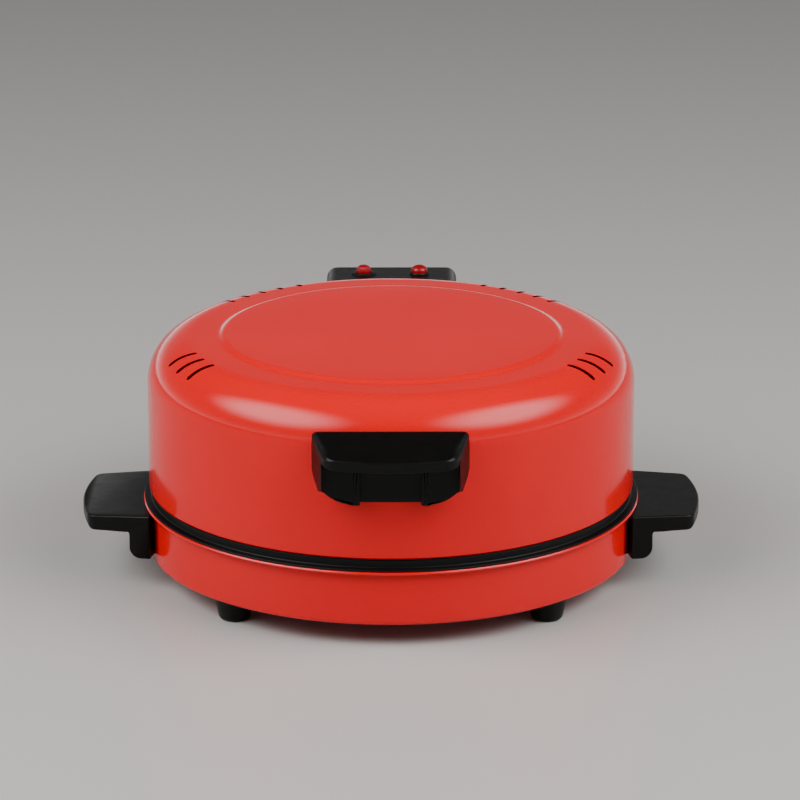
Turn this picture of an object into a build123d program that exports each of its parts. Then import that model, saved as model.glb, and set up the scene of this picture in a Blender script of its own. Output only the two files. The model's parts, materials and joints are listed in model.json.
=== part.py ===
from build123d import *
from math import acos, asin, atan, atan2, cos, degrees, hypot, radians, sin, sqrt
import os

os.makedirs("parts", exist_ok=True)

# A round countertop pizza maker. The origin is on the counter under the middle of
# the round base, +Z is up and the front, where the lid handle is, faces -Y.

# Overall sizes of the base, the baking plate and the lid
body_radius = 195.0
steel = 1.0
foot_height = 17.6
base_depth = 44.9
rim_height = 8.2
lid_gap = 0.6
lid_depth = 123.2

base_bottom = foot_height
base_top = base_bottom + base_depth
plate_top = base_top + rim_height
lid_bottom = plate_top + lid_gap
lid_top = lid_bottom + lid_depth
wall_inside = body_radius - steel

# Cutters reach this far to each side of a sheet and of a moulded wall, or past everything
sheet_cut = 3.0
wall_cut = 5.0
beyond = 600.0

# Clearances: curved seats, screws in their holes, and the turning hinge
seat_gap = 0.1
bolt_gap = 0.2
running_gap = 0.05

# Base shell: rounded bottom edge and rolled-out lip
base_corner = 3.0
lip_flare = 4.5
lip_bend = 3.0
floor_vent_count = 8
floor_vent_radius = 72.0
floor_vent_length = 28.0
floor_vent_width = 3.0
floor_top = base_bottom + steel
flare_start = base_top - steel - lip_bend

# Lid shell: raised disc on top, wide shoulder and turned-in lower hem
shoulder_radius = 36.0
plateau_inset = 63.0
plateau_rise = 2.5
step_width = 8.0
hem_bend = 1.5
hem_width = 4.0
shoulder_start = lid_top - shoulder_radius
flat_radius = body_radius - shoulder_radius
plateau_radius = body_radius - plateau_inset

# Lid vents: three slots each side at the front and five each side at the back
vent_width = 1.8
vent_length = 21.0
vent_inset = 22.0
front_vent_count = 3
front_vent_first = 18.5
front_vent_pitch = 6.2
front_vent_tilt = 12.0
rear_vent_count = 5
rear_vent_first = 36.2
rear_vent_pitch = 6.4
vent_radius = body_radius - vent_inset

# Feet
foot_inset = 18.6
foot_azimuth = 46.0
foot_top_radius = 16.0
foot_bottom_radius = 14.0
foot_edge = 1.5
foot_recess_radius = 5.5
foot_recess_depth = 8.0
foot_x = (body_radius - foot_inset) * cos(radians(foot_azimuth))
foot_y = (body_radius - foot_inset) * sin(radians(foot_azimuth))

# Fasteners
screw_radius = 2.0
screw_head_radius = 3.8
screw_head_height = 2.4
nut_radius = 4.0
nut_height = 3.2
thread_end = 1.0
rivet_radius = 2.0
rivet_head_radius = 3.8
rivet_head_height = 1.5

# Baking plate, reflector and the posts that carry them
plate_side_gap = 0.8
plate_thickness = 4.0
plate_depth = 9.7
plate_rim = 3.0
plate_flange = 3.9
plate_flange_thickness = 1.6
plate_inner_fillet = 3.5
post_inset = 60.0
post_radius = 7.0
plate_screw_reach = 9.0
reflector_lift = 13.4
reflector_sheet = 0.8
reflector_side_gap = 16.0
reflector_bend = 8.0
reflector_depth = 18.0
plate_radius = wall_inside - plate_side_gap
reflector_radius = wall_inside - reflector_side_gap
post_circle = body_radius - post_inset
plate_floor_top = plate_top - plate_depth
plate_underside = plate_floor_top - plate_thickness
plate_flange_radius = body_radius + plate_flange
plate_flange_bottom = base_top + seat_gap
plate_flange_top = plate_flange_bottom + plate_flange_thickness
reflector_bottom = floor_top + reflector_lift
reflector_top = reflector_bottom + reflector_sheet
post_offset = post_circle * cos(radians(45))

# Sheathed heaters: a ring with two legs that pass out at the back
tube_radius = 3.25
heater_inset = 85.0
leg_spacing = 24.0
leg_bend = 14.0
leg_hole_gap = 0.8
leg_reach = 16.0
collar_radius = 6.0
collar_thickness = 2.0
blade_length = 8.0
blade_width = 6.3
blade_thickness = 0.8
lower_heater_rise = 11.2
upper_heater_drop = 22.0
clip_count = 3
clip_first = 30.0
clip_width = 8.0
clip_wall = 1.2
clip_gap = 0.25
clip_foot = 12.0
heater_circle = body_radius - heater_inset
lower_heater_height = reflector_top + lower_heater_rise

# Liner inside the lid, hung from four posts
liner_sheet = 0.6
liner_side_gap = 7.0
liner_bend = 2.0
liner_shoulder = 20.0
liner_drop = 22.5
liner_edge_gap = 0.5
liner_post_inset = 52.0
liner_post_radius = 4.0
liner_screw_reach = 14.0
liner_top = lid_top - liner_drop
liner_radius = wall_inside - liner_side_gap
upper_heater_height = liner_top - upper_heater_drop
liner_post_circle = plateau_radius - liner_post_inset
liner_post_offset = liner_post_circle * cos(radians(45))

# Side handles: a flat grip over a mounting skirt
grip_drop = 2.2
grip_thickness = 13.6
grip_root_half = 61.0
grip_end_half = 53.5
grip_overhang = 53.5
grip_bow = 7.5
grip_corner = 9.0
grip_top_edge = 2.5
grip_bottom_edge = 4.0
handle_root = 2.5
handle_heel = 12.0
handle_heel_half = 18.0
skirt_thickness = 13.6
skirt_half = 58.0
skirt_lift = 7.4
skirt_corner = 6.0
handle_screw_angle = 12.0
handle_screw_lift = 20.4
handle_screw_reach = 11.0
grip_top = base_top - grip_drop
skirt_bottom = base_bottom + skirt_lift
handle_screw_height = base_bottom + handle_screw_lift
grip_reach = body_radius + grip_overhang
handle_inner_face = body_radius - handle_root
handle_heel_face = body_radius - handle_heel
skirt_reach = body_radius + skirt_thickness

# Lid handle: a sloping finger shelf over a hollow with two ribs
lid_handle_half = 60.0
lid_handle_lift = 47.2
lid_handle_height = 56.5
lid_handle_lower_corner = 26.0
lid_handle_upper_corner = 3.0
shelf_back_offset = 2.0
shelf_overhang = 40.0
shelf_front_half = 50.0
shelf_corner = 12.0
shelf_drop = 13.0
shelf_thickness = 8.2
shelf_back_gap = 0.8
handle_block_thickness = 8.0
handle_seat_height = 46.5
cheek_inset = 11.0
cheek_lap = 3.0
cheek_rise = 18.0
recess_half = 50.0
rib_inner = 24.0
rib_outer = 28.0
rib_proud = 2.0
pocket_depth = 4.5
lid_handle_screw_angle = 11.5
lid_handle_screw_lift = 21.5
lid_handle_screw_reach = 6.0
lid_handle_bottom = lid_bottom + lid_handle_lift
lid_handle_top = lid_handle_bottom + lid_handle_height
handle_seat_top = lid_handle_bottom + handle_seat_height
lid_handle_screw_height = lid_handle_bottom + lid_handle_screw_lift
shelf_back = body_radius + shelf_back_offset
shelf_front = body_radius + shelf_overhang
shelf_back_face = body_radius + shelf_back_gap
handle_block_front = body_radius + handle_block_thickness
cheek_front = shelf_front - cheek_inset
cheek_foot = handle_block_front + cheek_lap

# Rear housings: the upper one moves with the lid, the lower one stays on the base.
# Pieces on the back are drawn from back_start, inside the round wall, and trimmed by it.
back_root = 75.0
housing_half = 55.0
housing_depth = 43.0
housing_wall = 2.5
upper_housing_drop = 10.5
upper_housing_lift = 10.7
lower_housing_drop = 9.0
lower_housing_lift = 4.4
housing_top_round = 9.0
housing_corner = 4.0
housing_back_edge = 2.0
boss_radius = 5.0
boss_length = 16.0
boss_inset = 5.7
housing_screw_reach = 11.0
upper_screw_lifts = (28.7, 78.7)
lower_screw_lift = 20.2
upper_housing_top = lid_top - upper_housing_drop
upper_housing_bottom = lid_bottom + upper_housing_lift
lower_housing_top = base_top - lower_housing_drop
lower_housing_bottom = base_bottom + lower_housing_lift
upper_screw_heights = [lid_bottom + lift for lift in upper_screw_lifts]
lower_screw_height = base_bottom + lower_screw_lift
housing_back = body_radius + housing_depth
housing_inner_back = housing_back - housing_wall
back_start = body_radius - back_root
boss_angle = degrees(asin((housing_half - boss_inset) / (body_radius + boss_length)))

# Hinge: the axis lies across the back, between the two housings
hinge_offset = 31.0
hinge_rise = 4.5
open_angle = 85.0
pin_radius = 3.0
pin_head_radius = 4.8
pin_head_length = 2.0
pin_fit = 0.02
pin_end_gap = 0.5
retainer_radius = 6.0
retainer_length = 1.4
ear_radius = 7.0
arm_thickness = 3.0
arm_gap = 1.0
base_arm_inner = 30.0
base_arm_lift = 10.4
base_arm_height = 20.0
base_neck_half = 6.0
base_flange_inner = 20.0
flange_thickness = 2.5
lid_flange_inner = 24.0
lid_flange_lift = 25.7
lid_flange_height = 33.0
slot_gap = 0.8
stop_radius = 2.0
stop_lobe = 3.5
stop_shift = 4.0
stop_gap = 0.4
rivet_edge = 5.0
hinge_y = body_radius + hinge_offset
hinge_z = base_top + hinge_rise
base_arm_bottom = base_bottom + base_arm_lift
base_arm_top = base_arm_bottom + base_arm_height
lid_flange_bottom = lid_bottom + lid_flange_lift
lid_flange_top = lid_flange_bottom + lid_flange_height
base_arm_outer = base_arm_inner + arm_thickness
lid_arm_inner = base_arm_outer + arm_gap
lid_arm_outer = lid_arm_inner + arm_thickness
pin_end = lid_arm_outer + pin_end_gap
flange_inside = body_radius + seat_gap
flange_outside = flange_inside + flange_thickness

# Indicator lamps on top of the upper housing
lamp_x = 23.5
lamp_offset = 22.0
bezel_radius = 10.5
bezel_top_radius = 7.4
bezel_height = 3.2
lens_radius = 6.4
lens_lift = 1.2
lens_wall = 2.6
lens_dome = 3.8
lens_facets = 12
facet_top_radius = 2.2
holder_radius = 4.9
holder_length = 24.0
lamp_nut_radius = 8.0
lamp_nut_height = 3.0
lens_bottom = upper_housing_top + lens_lift
lamp_y = body_radius + lamp_offset

# Thermostats, terminal block and cord gland
thermostat_radius = 6.5
thermostat_height = 8.0
blade_offset = 3.2
lid_thermostat_lift = 52.7
base_thermostat_lift = 15.4
block_length = 40.0
block_depth = 12.0
block_height = 11.0
block_offset = 25.0
block_ways = 3
block_pitch = 12.0
block_row_pitch = 6.0
block_screw_depth = 5.5
gland_lift = 19.4
gland_bore = 3.6
gland_neck = 6.8
gland_flange = 9.0
gland_flange_length = 2.5
gland_neck_length = 5.0
gland_hole = gland_neck + seat_gap
block_y = body_radius + block_offset
lid_thermostat_height = lid_bottom + lid_thermostat_lift
base_thermostat_height = base_bottom + base_thermostat_lift
gland_height = base_bottom + gland_lift


def wall_plane(radius, azimuth, height):
    """A plane standing on the round wall, facing outwards."""
    across, along = cos(radians(azimuth)), sin(radians(azimuth))
    return Plane(
        origin=(radius * across, radius * along, height),
        x_dir=(-along, across, 0),
        z_dir=(across, along, 0),
    )


def headed_pin(seat, head_radius, head_height, shank_radius, shank_length):
    """A screw or pin whose head rests on the seat and whose shank follows its normal."""
    with BuildPart() as pin:
        with BuildSketch(seat):
            Circle(head_radius)
        extrude(amount=-head_height)
        with BuildSketch(seat):
            Circle(shank_radius)
        extrude(amount=shank_length)
    return pin.part


def wall_screw(azimuth, height, reach):
    """A screw put in from inside the round wall, pointing outwards."""
    seat = wall_plane(wall_inside - seat_gap, azimuth, height)
    return headed_pin(
        seat, screw_head_radius, screw_head_height, screw_radius, steel + seat_gap + reach
    )


def wall_rivet(azimuth, height):
    """A rivet that clamps a hinge flange to the round wall."""
    seat = wall_plane(wall_inside - seat_gap, azimuth, height)
    grip = flange_outside - wall_inside + 2 * seat_gap
    with BuildPart() as rivet:
        with BuildSketch(seat):
            Circle(rivet_head_radius)
        extrude(amount=-rivet_head_height)
        with BuildSketch(seat):
            Circle(rivet_radius)
        extrude(amount=grip)
        with BuildSketch(seat.offset(grip)):
            Circle(rivet_head_radius)
        extrude(amount=rivet_head_height)
    return rivet.part


def cylinder_cut(planes, radius, length):
    """Round cutters, one through each plane, as far to each side as length."""
    cutters = []
    for plane in planes:
        with BuildPart() as cutter:
            with BuildSketch(plane):
                Circle(radius)
            extrude(amount=length, both=True)
        cutters.append(cutter.part)
    return cutters


def sheathed_heater(height, wall_radius):
    """A heater ring with two legs that reach out past the back of the round wall."""
    leg_x = leg_spacing / 2
    bend_y = sqrt((heater_circle + leg_bend) ** 2 - (leg_x + leg_bend) ** 2)
    bend_angle = degrees(atan2(bend_y, leg_x + leg_bend))
    leg_end = wall_radius + leg_reach
    with BuildPart() as heater:
        with BuildLine(Plane.XY.offset(height)) as route:
            leg_in = Line((leg_x, leg_end), (leg_x, bend_y))
            bend_in = JernArc(leg_in @ 1, (0, -1), leg_bend, bend_angle)
            ring = JernArc(bend_in @ 1, bend_in % 1, heater_circle, 2 * (90 - bend_angle) - 360)
            bend_out = JernArc(ring @ 1, ring % 1, leg_bend, bend_angle)
            Line(bend_out @ 1, (-leg_x, leg_end))
        with BuildSketch(Plane(origin=(leg_x, leg_end, height), z_dir=(0, -1, 0))):
            Circle(tube_radius)
        sweep(path=route.line)
        with BuildSketch(Plane.XZ.offset(-(wall_radius + seat_gap))):
            with Locations((-leg_x, height), (leg_x, height)):
                Circle(collar_radius)
        extrude(amount=-collar_thickness)
        with BuildSketch(Plane.XZ.offset(-leg_end)):
            with Locations((-leg_x, height), (leg_x, height)):
                Rectangle(blade_thickness, blade_width)
        extrude(amount=-blade_length)
    return heater.part


def heater_clips(heater_height, seat_height):
    """Straps that hold the heater ring off the sheet at seat_height."""
    rise = abs(seat_height - heater_height)
    up = 1 if seat_height > heater_height else -1
    bore = tube_radius + clip_gap
    clips = []
    for number in range(clip_count):
        turn = radians(clip_first + number * 360 / clip_count)
        origin = (heater_circle * cos(turn), heater_circle * sin(turn), heater_height)
        plane = Plane(origin=origin, x_dir=(cos(turn), sin(turn), 0), z_dir=(sin(turn), -cos(turn), 0))
        with BuildPart() as clip:
            with BuildSketch(plane):
                Circle(bore + clip_wall)
                with Locations((0, up * rise / 2)):
                    Rectangle(clip_wall, rise)
                with Locations((0, up * (rise - clip_wall / 2))):
                    Rectangle(clip_foot, clip_wall)
                Circle(bore, mode=Mode.SUBTRACT)
            extrude(amount=clip_width / 2, both=True)
        clips.append(clip.part)
    return clips


def thermostat(height):
    """A disc thermostat on the back wall with two blade terminals."""
    seat = wall_plane(body_radius + 2 * seat_gap, 90, height)
    with BuildPart() as body:
        with BuildSketch(seat):
            Circle(thermostat_radius)
        extrude(amount=thermostat_height)
        with BuildSketch(seat.offset(thermostat_height)):
            with Locations((-blade_offset, 0), (blade_offset, 0)):
                Rectangle(blade_thickness, blade_width)
        extrude(amount=blade_length)
    return body.part


def tangent_point(centre, radius, point, side):
    """Where a line from point touches a circle, on the side given as 1 or -1."""
    away_y, away_z = point[0] - centre[0], point[1] - centre[1]
    bearing = atan2(away_z, away_y)
    angle = bearing + side * acos(radius / hypot(away_y, away_z))
    return (centre[0] + radius * cos(angle), centre[1] + radius * sin(angle))


# Places shared by several pieces
back_azimuth = 90.0
front_azimuth = -90.0
leg_places = (-leg_spacing / 2, leg_spacing / 2)
base_rivet_azimuths = [
    back_azimuth + side * degrees(asin((base_flange_inner + rivet_edge) / body_radius))
    for side in (-1, 1)
]
lid_rivet_azimuths = [
    back_azimuth + side * degrees(asin((lid_flange_inner + rivet_edge) / body_radius))
    for side in (-1, 1)
]
base_rivet_heights = (base_arm_bottom + rivet_edge, base_arm_top - rivet_edge)
lid_rivet_heights = (lid_flange_bottom + rivet_edge, lid_flange_top - rivet_edge)
boss_azimuths = (back_azimuth - boss_angle, back_azimuth + boss_angle)
side_handle_azimuths = [
    middle + side * handle_screw_angle for middle in (0, 180) for side in (-1, 1)
]
lid_handle_azimuths = (
    front_azimuth - lid_handle_screw_angle,
    front_azimuth + lid_handle_screw_angle,
)


def wall_places(azimuths, heights, radius=body_radius):
    """Planes on the round wall for every azimuth and height."""
    return [wall_plane(radius, azimuth, height) for azimuth in azimuths for height in heights]


# Base shell: a pressed bowl with its lip rolled outwards
with BuildPart() as base_shell:
    with BuildSketch(Plane.XZ):
        with BuildLine():
            floor_line = Line((0, base_bottom), (body_radius - base_corner, base_bottom))
            floor_corner = JernArc(floor_line @ 1, (1, 0), base_corner, 90)
            wall_line = Line(floor_corner @ 1, (body_radius, flare_start))
            lip_arc = JernArc(wall_line @ 1, (0, 1), lip_bend, -90)
            Line(lip_arc @ 1, (body_radius + lip_flare, base_top - steel))
            offset(amount=steel, side=Side.LEFT)
        make_face()
    revolve(axis=Axis.Z)
    with BuildSketch(Plane.XY.offset(base_bottom)):
        with GridLocations(2 * foot_x, 2 * foot_y, 2, 2):
            Circle(screw_radius + bolt_gap)
        with GridLocations(2 * post_offset, 2 * post_offset, 2, 2):
            Circle(screw_radius + bolt_gap)
        with PolarLocations(floor_vent_radius, floor_vent_count):
            SlotOverall(floor_vent_length, floor_vent_width)
    extrude(amount=sheet_cut, both=True, mode=Mode.SUBTRACT)
    add(
        cylinder_cut(
            wall_places(side_handle_azimuths, [handle_screw_height])
            + wall_places(boss_azimuths, [lower_screw_height]),
            screw_radius + bolt_gap,
            sheet_cut,
        ),
        mode=Mode.SUBTRACT,
    )
    add(
        cylinder_cut(
            wall_places(base_rivet_azimuths, base_rivet_heights), rivet_radius + seat_gap, sheet_cut
        ),
        mode=Mode.SUBTRACT,
    )
    with BuildSketch(Plane.XZ.offset(-body_radius)):
        with Locations(*[(x, lower_heater_height) for x in leg_places]):
            Circle(tube_radius + leg_hole_gap)
    extrude(amount=wall_cut, both=True, mode=Mode.SUBTRACT)
base_shell.part.label = "base_shell"

# Feet: tapered mouldings, each with a recess for its screw
feet = {
    "foot_front_left": (-foot_x, -foot_y),
    "foot_front_right": (foot_x, -foot_y),
    "foot_rear_left": (-foot_x, foot_y),
    "foot_rear_right": (foot_x, foot_y),
}
for foot_name, (foot_at_x, foot_at_y) in feet.items():
    with BuildPart() as foot:
        with BuildSketch(Plane((foot_at_x, foot_at_y, 0))):
            Circle(foot_bottom_radius)
        with BuildSketch(Plane((foot_at_x, foot_at_y, foot_height))):
            Circle(foot_top_radius)
        loft()
        fillet(foot.edges().group_by(Axis.Z)[0], foot_edge)
        with BuildSketch(Plane((foot_at_x, foot_at_y, 0))):
            Circle(foot_recess_radius)
        extrude(amount=foot_recess_depth, mode=Mode.SUBTRACT)
        with BuildSketch(Plane((foot_at_x, foot_at_y, 0))):
            Circle(screw_radius + bolt_gap)
        extrude(amount=foot_height, mode=Mode.SUBTRACT)
    foot.part.label = foot_name
    export_step(foot.part, f"parts/{foot_name}.step")

foot_screw_length = foot_height - foot_recess_depth + steel + nut_height + thread_end
foot_screw_list = [
    headed_pin(
        Plane((x, y, foot_recess_depth)),
        screw_head_radius,
        screw_head_height,
        screw_radius,
        foot_screw_length,
    )
    for x, y in feet.values()
]
with BuildPart() as foot_screws:
    add(foot_screw_list)
foot_screws.part.label = "foot_screws"

with BuildPart() as foot_nuts:
    with BuildSketch(Plane.XY.offset(floor_top)):
        with GridLocations(2 * foot_x, 2 * foot_y, 2, 2):
            RegularPolygon(nut_radius, 6)
            Circle(screw_radius + seat_gap, mode=Mode.SUBTRACT)
    extrude(amount=nut_height)
foot_nuts.part.label = "foot_nuts"

# Reflector dish under the lower heater
with BuildPart() as lower_reflector:
    with BuildSketch(Plane.XZ):
        with BuildLine():
            dish_floor = Line((0, reflector_bottom), (reflector_radius - reflector_bend, reflector_bottom))
            dish_corner = JernArc(dish_floor @ 1, (1, 0), reflector_bend, 90)
            Line(dish_corner @ 1, (reflector_radius, reflector_bottom + reflector_depth))
            offset(amount=reflector_sheet, side=Side.LEFT)
        make_face()
    revolve(axis=Axis.Z)
    with BuildSketch(Plane.XY.offset(reflector_bottom)):
        with GridLocations(2 * post_offset, 2 * post_offset, 2, 2):
            Circle(screw_radius + bolt_gap)
    extrude(amount=sheet_cut, both=True, mode=Mode.SUBTRACT)
    with BuildSketch(Plane.XZ.offset(-reflector_radius)):
        with Locations(*[(x, lower_heater_height) for x in leg_places]):
            Circle(tube_radius + leg_hole_gap)
    extrude(amount=wall_cut, both=True, mode=Mode.SUBTRACT)
lower_reflector.part.label = "lower_reflector"

# Spacers between the floor and the reflector, in line with the plate's bosses
with BuildPart() as plate_spacers:
    with BuildSketch(Plane.XY.offset(floor_top)):
        with GridLocations(2 * post_offset, 2 * post_offset, 2, 2):
            Circle(post_radius)
            Circle(screw_radius + bolt_gap, mode=Mode.SUBTRACT)
    extrude(amount=reflector_lift)
plate_spacers.part.label = "plate_spacers"

# Baking plate: a cast pan with an upright rim, a flange that rests on the base's lip and
# four screw bosses
with BuildPart() as baking_plate:
    with BuildSketch(Plane.XZ):
        with BuildLine():
            Line((0, plate_underside), (plate_radius, plate_underside))
            Polyline(
                (plate_radius, plate_underside),
                (plate_radius, plate_flange_bottom),
                (plate_flange_radius, plate_flange_bottom),
                (plate_flange_radius, plate_flange_top),
                (plate_radius, plate_flange_top),
                (plate_radius, plate_top),
            )
            rim_top = Line((plate_radius, plate_top), (plate_radius - plate_rim, plate_top))
            rim_inside = Line(rim_top @ 1, (plate_radius - plate_rim, plate_floor_top + plate_inner_fillet))
            pan_corner = JernArc(rim_inside @ 1, (0, -1), plate_inner_fillet, -90)
            Line(pan_corner @ 1, (0, plate_floor_top))
            Line((0, plate_floor_top), (0, plate_underside))
        make_face()
    revolve(axis=Axis.Z)
    with BuildSketch(Plane.XY.offset(reflector_top)):
        with GridLocations(2 * post_offset, 2 * post_offset, 2, 2):
            Circle(post_radius)
    extrude(amount=plate_underside - reflector_top)
    with BuildSketch(Plane.XY.offset(reflector_top)):
        with GridLocations(2 * post_offset, 2 * post_offset, 2, 2):
            Circle(screw_radius + seat_gap)
    extrude(amount=plate_screw_reach + thread_end, mode=Mode.SUBTRACT)
baking_plate.part.label = "baking_plate"

plate_screw_list = [
    headed_pin(
        Plane((x, y, base_bottom)),
        screw_head_radius,
        screw_head_height,
        screw_radius,
        reflector_top - base_bottom + plate_screw_reach,
    )
    for x in (-post_offset, post_offset)
    for y in (-post_offset, post_offset)
]
with BuildPart() as plate_screws:
    add(plate_screw_list)
plate_screws.part.label = "plate_screws"

# Heaters and the clips that hold them
lower_heater_solid = sheathed_heater(lower_heater_height, body_radius)
with BuildPart() as lower_heater:
    add(lower_heater_solid)
lower_heater.part.label = "lower_heater"

lower_clip_list = heater_clips(lower_heater_height, reflector_top)
with BuildPart() as lower_heater_clips:
    add(lower_clip_list)
lower_heater_clips.part.label = "lower_heater_clips"

upper_heater_solid = sheathed_heater(upper_heater_height, body_radius)
with BuildPart() as upper_heater:
    add(upper_heater_solid)
upper_heater.part.label = "upper_heater"

upper_clip_list = heater_clips(upper_heater_height, liner_top)
with BuildPart() as upper_heater_clips:
    add(upper_clip_list)
upper_heater_clips.part.label = "upper_heater_clips"

# Side handles: one moulding at +X and its mirror image at -X
with BuildPart() as side_handle_right:
    with BuildSketch(Plane.XY.offset(grip_top - grip_thickness)) as grip_plan:
        with BuildLine():
            Line((handle_heel_face, -grip_root_half), (handle_inner_face, -grip_root_half))
            Line((handle_inner_face, -grip_root_half), (grip_reach - grip_bow, -grip_end_half))
            ThreePointArc(
                (grip_reach - grip_bow, -grip_end_half), (grip_reach, 0), (grip_reach - grip_bow, grip_end_half)
            )
            Line((grip_reach - grip_bow, grip_end_half), (handle_inner_face, grip_root_half))
            Line((handle_inner_face, grip_root_half), (handle_heel_face, grip_root_half))
            Line((handle_heel_face, grip_root_half), (handle_heel_face, -grip_root_half))
        make_face()
        fillet(grip_plan.vertices().group_by(Axis.X)[-1], grip_corner)
    extrude(amount=grip_thickness)
    fillet(side_handle_right.edges().group_by(Axis.Z)[-1], grip_top_edge)
    fillet(
        side_handle_right.edges().group_by(Axis.Z)[0].filter_by(lambda e: e.center().X > skirt_reach),
        grip_bottom_edge,
    )
    with BuildSketch(Plane.XZ.offset(-skirt_half)) as skirt_side:
        with BuildLine():
            Polyline(
                (handle_heel_face, skirt_bottom),
                (skirt_reach, skirt_bottom),
                (skirt_reach, grip_top - grip_thickness / 2),
                (handle_heel_face, grip_top - grip_thickness / 2),
                close=True,
            )
        make_face()
        fillet(skirt_side.vertices().group_by(Axis.Y)[0].sort_by(Axis.X)[-1], skirt_corner)
    extrude(amount=2 * skirt_half)
    with BuildSketch(Plane.XY.offset(base_bottom)):
        for side in (-1, 1):
            with BuildLine():
                Polyline(
                    (handle_heel_face, side * handle_heel_half),
                    (handle_inner_face, side * grip_root_half),
                    (handle_inner_face, side * body_radius),
                    (0, side * body_radius),
                    (0, side * handle_heel_half),
                    close=True,
                )
            make_face()
        Circle(body_radius + seat_gap)
    extrude(amount=base_depth, mode=Mode.SUBTRACT)
    with BuildSketch(Plane.XY.offset(flare_start - seat_gap)):
        Circle(body_radius + lip_flare + seat_gap)
    extrude(amount=base_depth, mode=Mode.SUBTRACT)
    add(
        cylinder_cut(
            wall_places(side_handle_azimuths[:2], [handle_screw_height]),
            screw_radius + seat_gap,
            handle_screw_reach + thread_end,
        ),
        mode=Mode.SUBTRACT,
    )
side_handle_right.part.label = "side_handle_right"

with BuildPart() as side_handle_left:
    add(side_handle_right.part.mirror(Plane.YZ))
side_handle_left.part.label = "side_handle_left"

side_screw_list = [
    wall_screw(azimuth, handle_screw_height, handle_screw_reach) for azimuth in side_handle_azimuths
]
with BuildPart() as side_handle_screws:
    add(side_screw_list)
side_handle_screws.part.label = "side_handle_screws"

# Lid shell: one pressing with a raised disc, a wide shoulder and a turned-in hem
step_radius = (step_width**2 + plateau_rise**2) / (4 * plateau_rise)
step_angle = 2 * degrees(atan(plateau_rise / step_width))
with BuildPart() as lid_shell:
    with BuildSketch(Plane.XZ):
        with BuildLine():
            disc_line = Line((0, lid_top + plateau_rise), (plateau_radius, lid_top + plateau_rise))
            step_down = JernArc(disc_line @ 1, (1, 0), step_radius, -step_angle)
            step_out = JernArc(step_down @ 1, step_down % 1, step_radius, step_angle)
            ring_line = Line(step_out @ 1, (flat_radius, lid_top))
            shoulder = JernArc(ring_line @ 1, (1, 0), shoulder_radius, -90)
            lid_wall = Line(shoulder @ 1, (body_radius, lid_bottom + hem_bend))
            hem_arc = JernArc(lid_wall @ 1, (0, -1), hem_bend, -90)
            Line(hem_arc @ 1, (wall_inside - hem_width, lid_bottom))
            offset(amount=steel, side=Side.RIGHT)
        make_face()
    revolve(axis=Axis.Z)
    with BuildSketch(Plane.XY.offset(shoulder_start)):
        for side, middle in ((-1, 0), (1, 180)):
            for number in range(front_vent_count):
                azimuth = middle + side * (front_vent_first + number * front_vent_pitch)
                with PolarLocations(vent_radius, 1, start_angle=azimuth):
                    SlotOverall(vent_length, vent_width, rotation=-side * front_vent_tilt)
        for side, middle in ((1, 0), (-1, 180)):
            for number in range(rear_vent_count):
                azimuth = middle + side * (rear_vent_first + number * rear_vent_pitch)
                with PolarLocations(vent_radius, 1, start_angle=azimuth):
                    SlotOverall(vent_length, vent_width)
    extrude(amount=shoulder_radius + plateau_rise, mode=Mode.SUBTRACT)
    add(
        cylinder_cut(
            wall_places(lid_handle_azimuths, [lid_handle_screw_height])
            + wall_places(boss_azimuths, upper_screw_heights),
            screw_radius + bolt_gap,
            sheet_cut,
        ),
        mode=Mode.SUBTRACT,
    )
    add(
        cylinder_cut(
            wall_places(lid_rivet_azimuths, lid_rivet_heights), rivet_radius + seat_gap, sheet_cut
        ),
        mode=Mode.SUBTRACT,
    )
    with BuildSketch(Plane.XZ.offset(-body_radius)):
        with Locations(*[(x, upper_heater_height) for x in leg_places]):
            Circle(tube_radius + leg_hole_gap)
    extrude(amount=wall_cut, both=True, mode=Mode.SUBTRACT)
lid_shell.part.label = "lid_shell"

# Liner: the bright inner dome that faces the food
flange_edge = wall_inside - liner_edge_gap
liner_foot = lid_bottom + steel
with BuildPart() as lid_liner:
    with BuildSketch(Plane.XZ):
        with BuildLine():
            liner_flange = Line((flange_edge, liner_foot), (liner_radius + liner_bend, liner_foot))
            liner_corner = JernArc(liner_flange @ 1, (-1, 0), liner_bend, -90)
            liner_wall = Line(liner_corner @ 1, (liner_radius, liner_top - liner_shoulder))
            liner_round = JernArc(liner_wall @ 1, (0, 1), liner_shoulder, 90)
            Line(liner_round @ 1, (0, liner_top))
            offset(amount=liner_sheet, side=Side.RIGHT)
        make_face()
    revolve(axis=Axis.Z)
    with BuildSketch(Plane.XY.offset(liner_top)):
        with GridLocations(2 * liner_post_offset, 2 * liner_post_offset, 2, 2):
            Circle(screw_radius + bolt_gap)
    extrude(amount=sheet_cut, both=True, mode=Mode.SUBTRACT)
    with BuildSketch(Plane.XZ.offset(-liner_radius)):
        with Locations(*[(x, upper_heater_height) for x in leg_places]):
            Circle(tube_radius + leg_hole_gap)
    extrude(amount=wall_cut, both=True, mode=Mode.SUBTRACT)
lid_liner.part.label = "lid_liner"

liner_back = liner_top + liner_sheet
lid_inner_top = lid_top + plateau_rise - steel
with BuildPart() as liner_posts:
    with BuildSketch(Plane.XY.offset(liner_back)):
        with GridLocations(2 * liner_post_offset, 2 * liner_post_offset, 2, 2):
            Circle(liner_post_radius)
    extrude(amount=lid_inner_top - liner_back)
    with BuildSketch(Plane.XY.offset(liner_back)):
        with GridLocations(2 * liner_post_offset, 2 * liner_post_offset, 2, 2):
            Circle(screw_radius + seat_gap)
    extrude(amount=liner_screw_reach + thread_end, mode=Mode.SUBTRACT)
liner_posts.part.label = "liner_posts"

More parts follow.
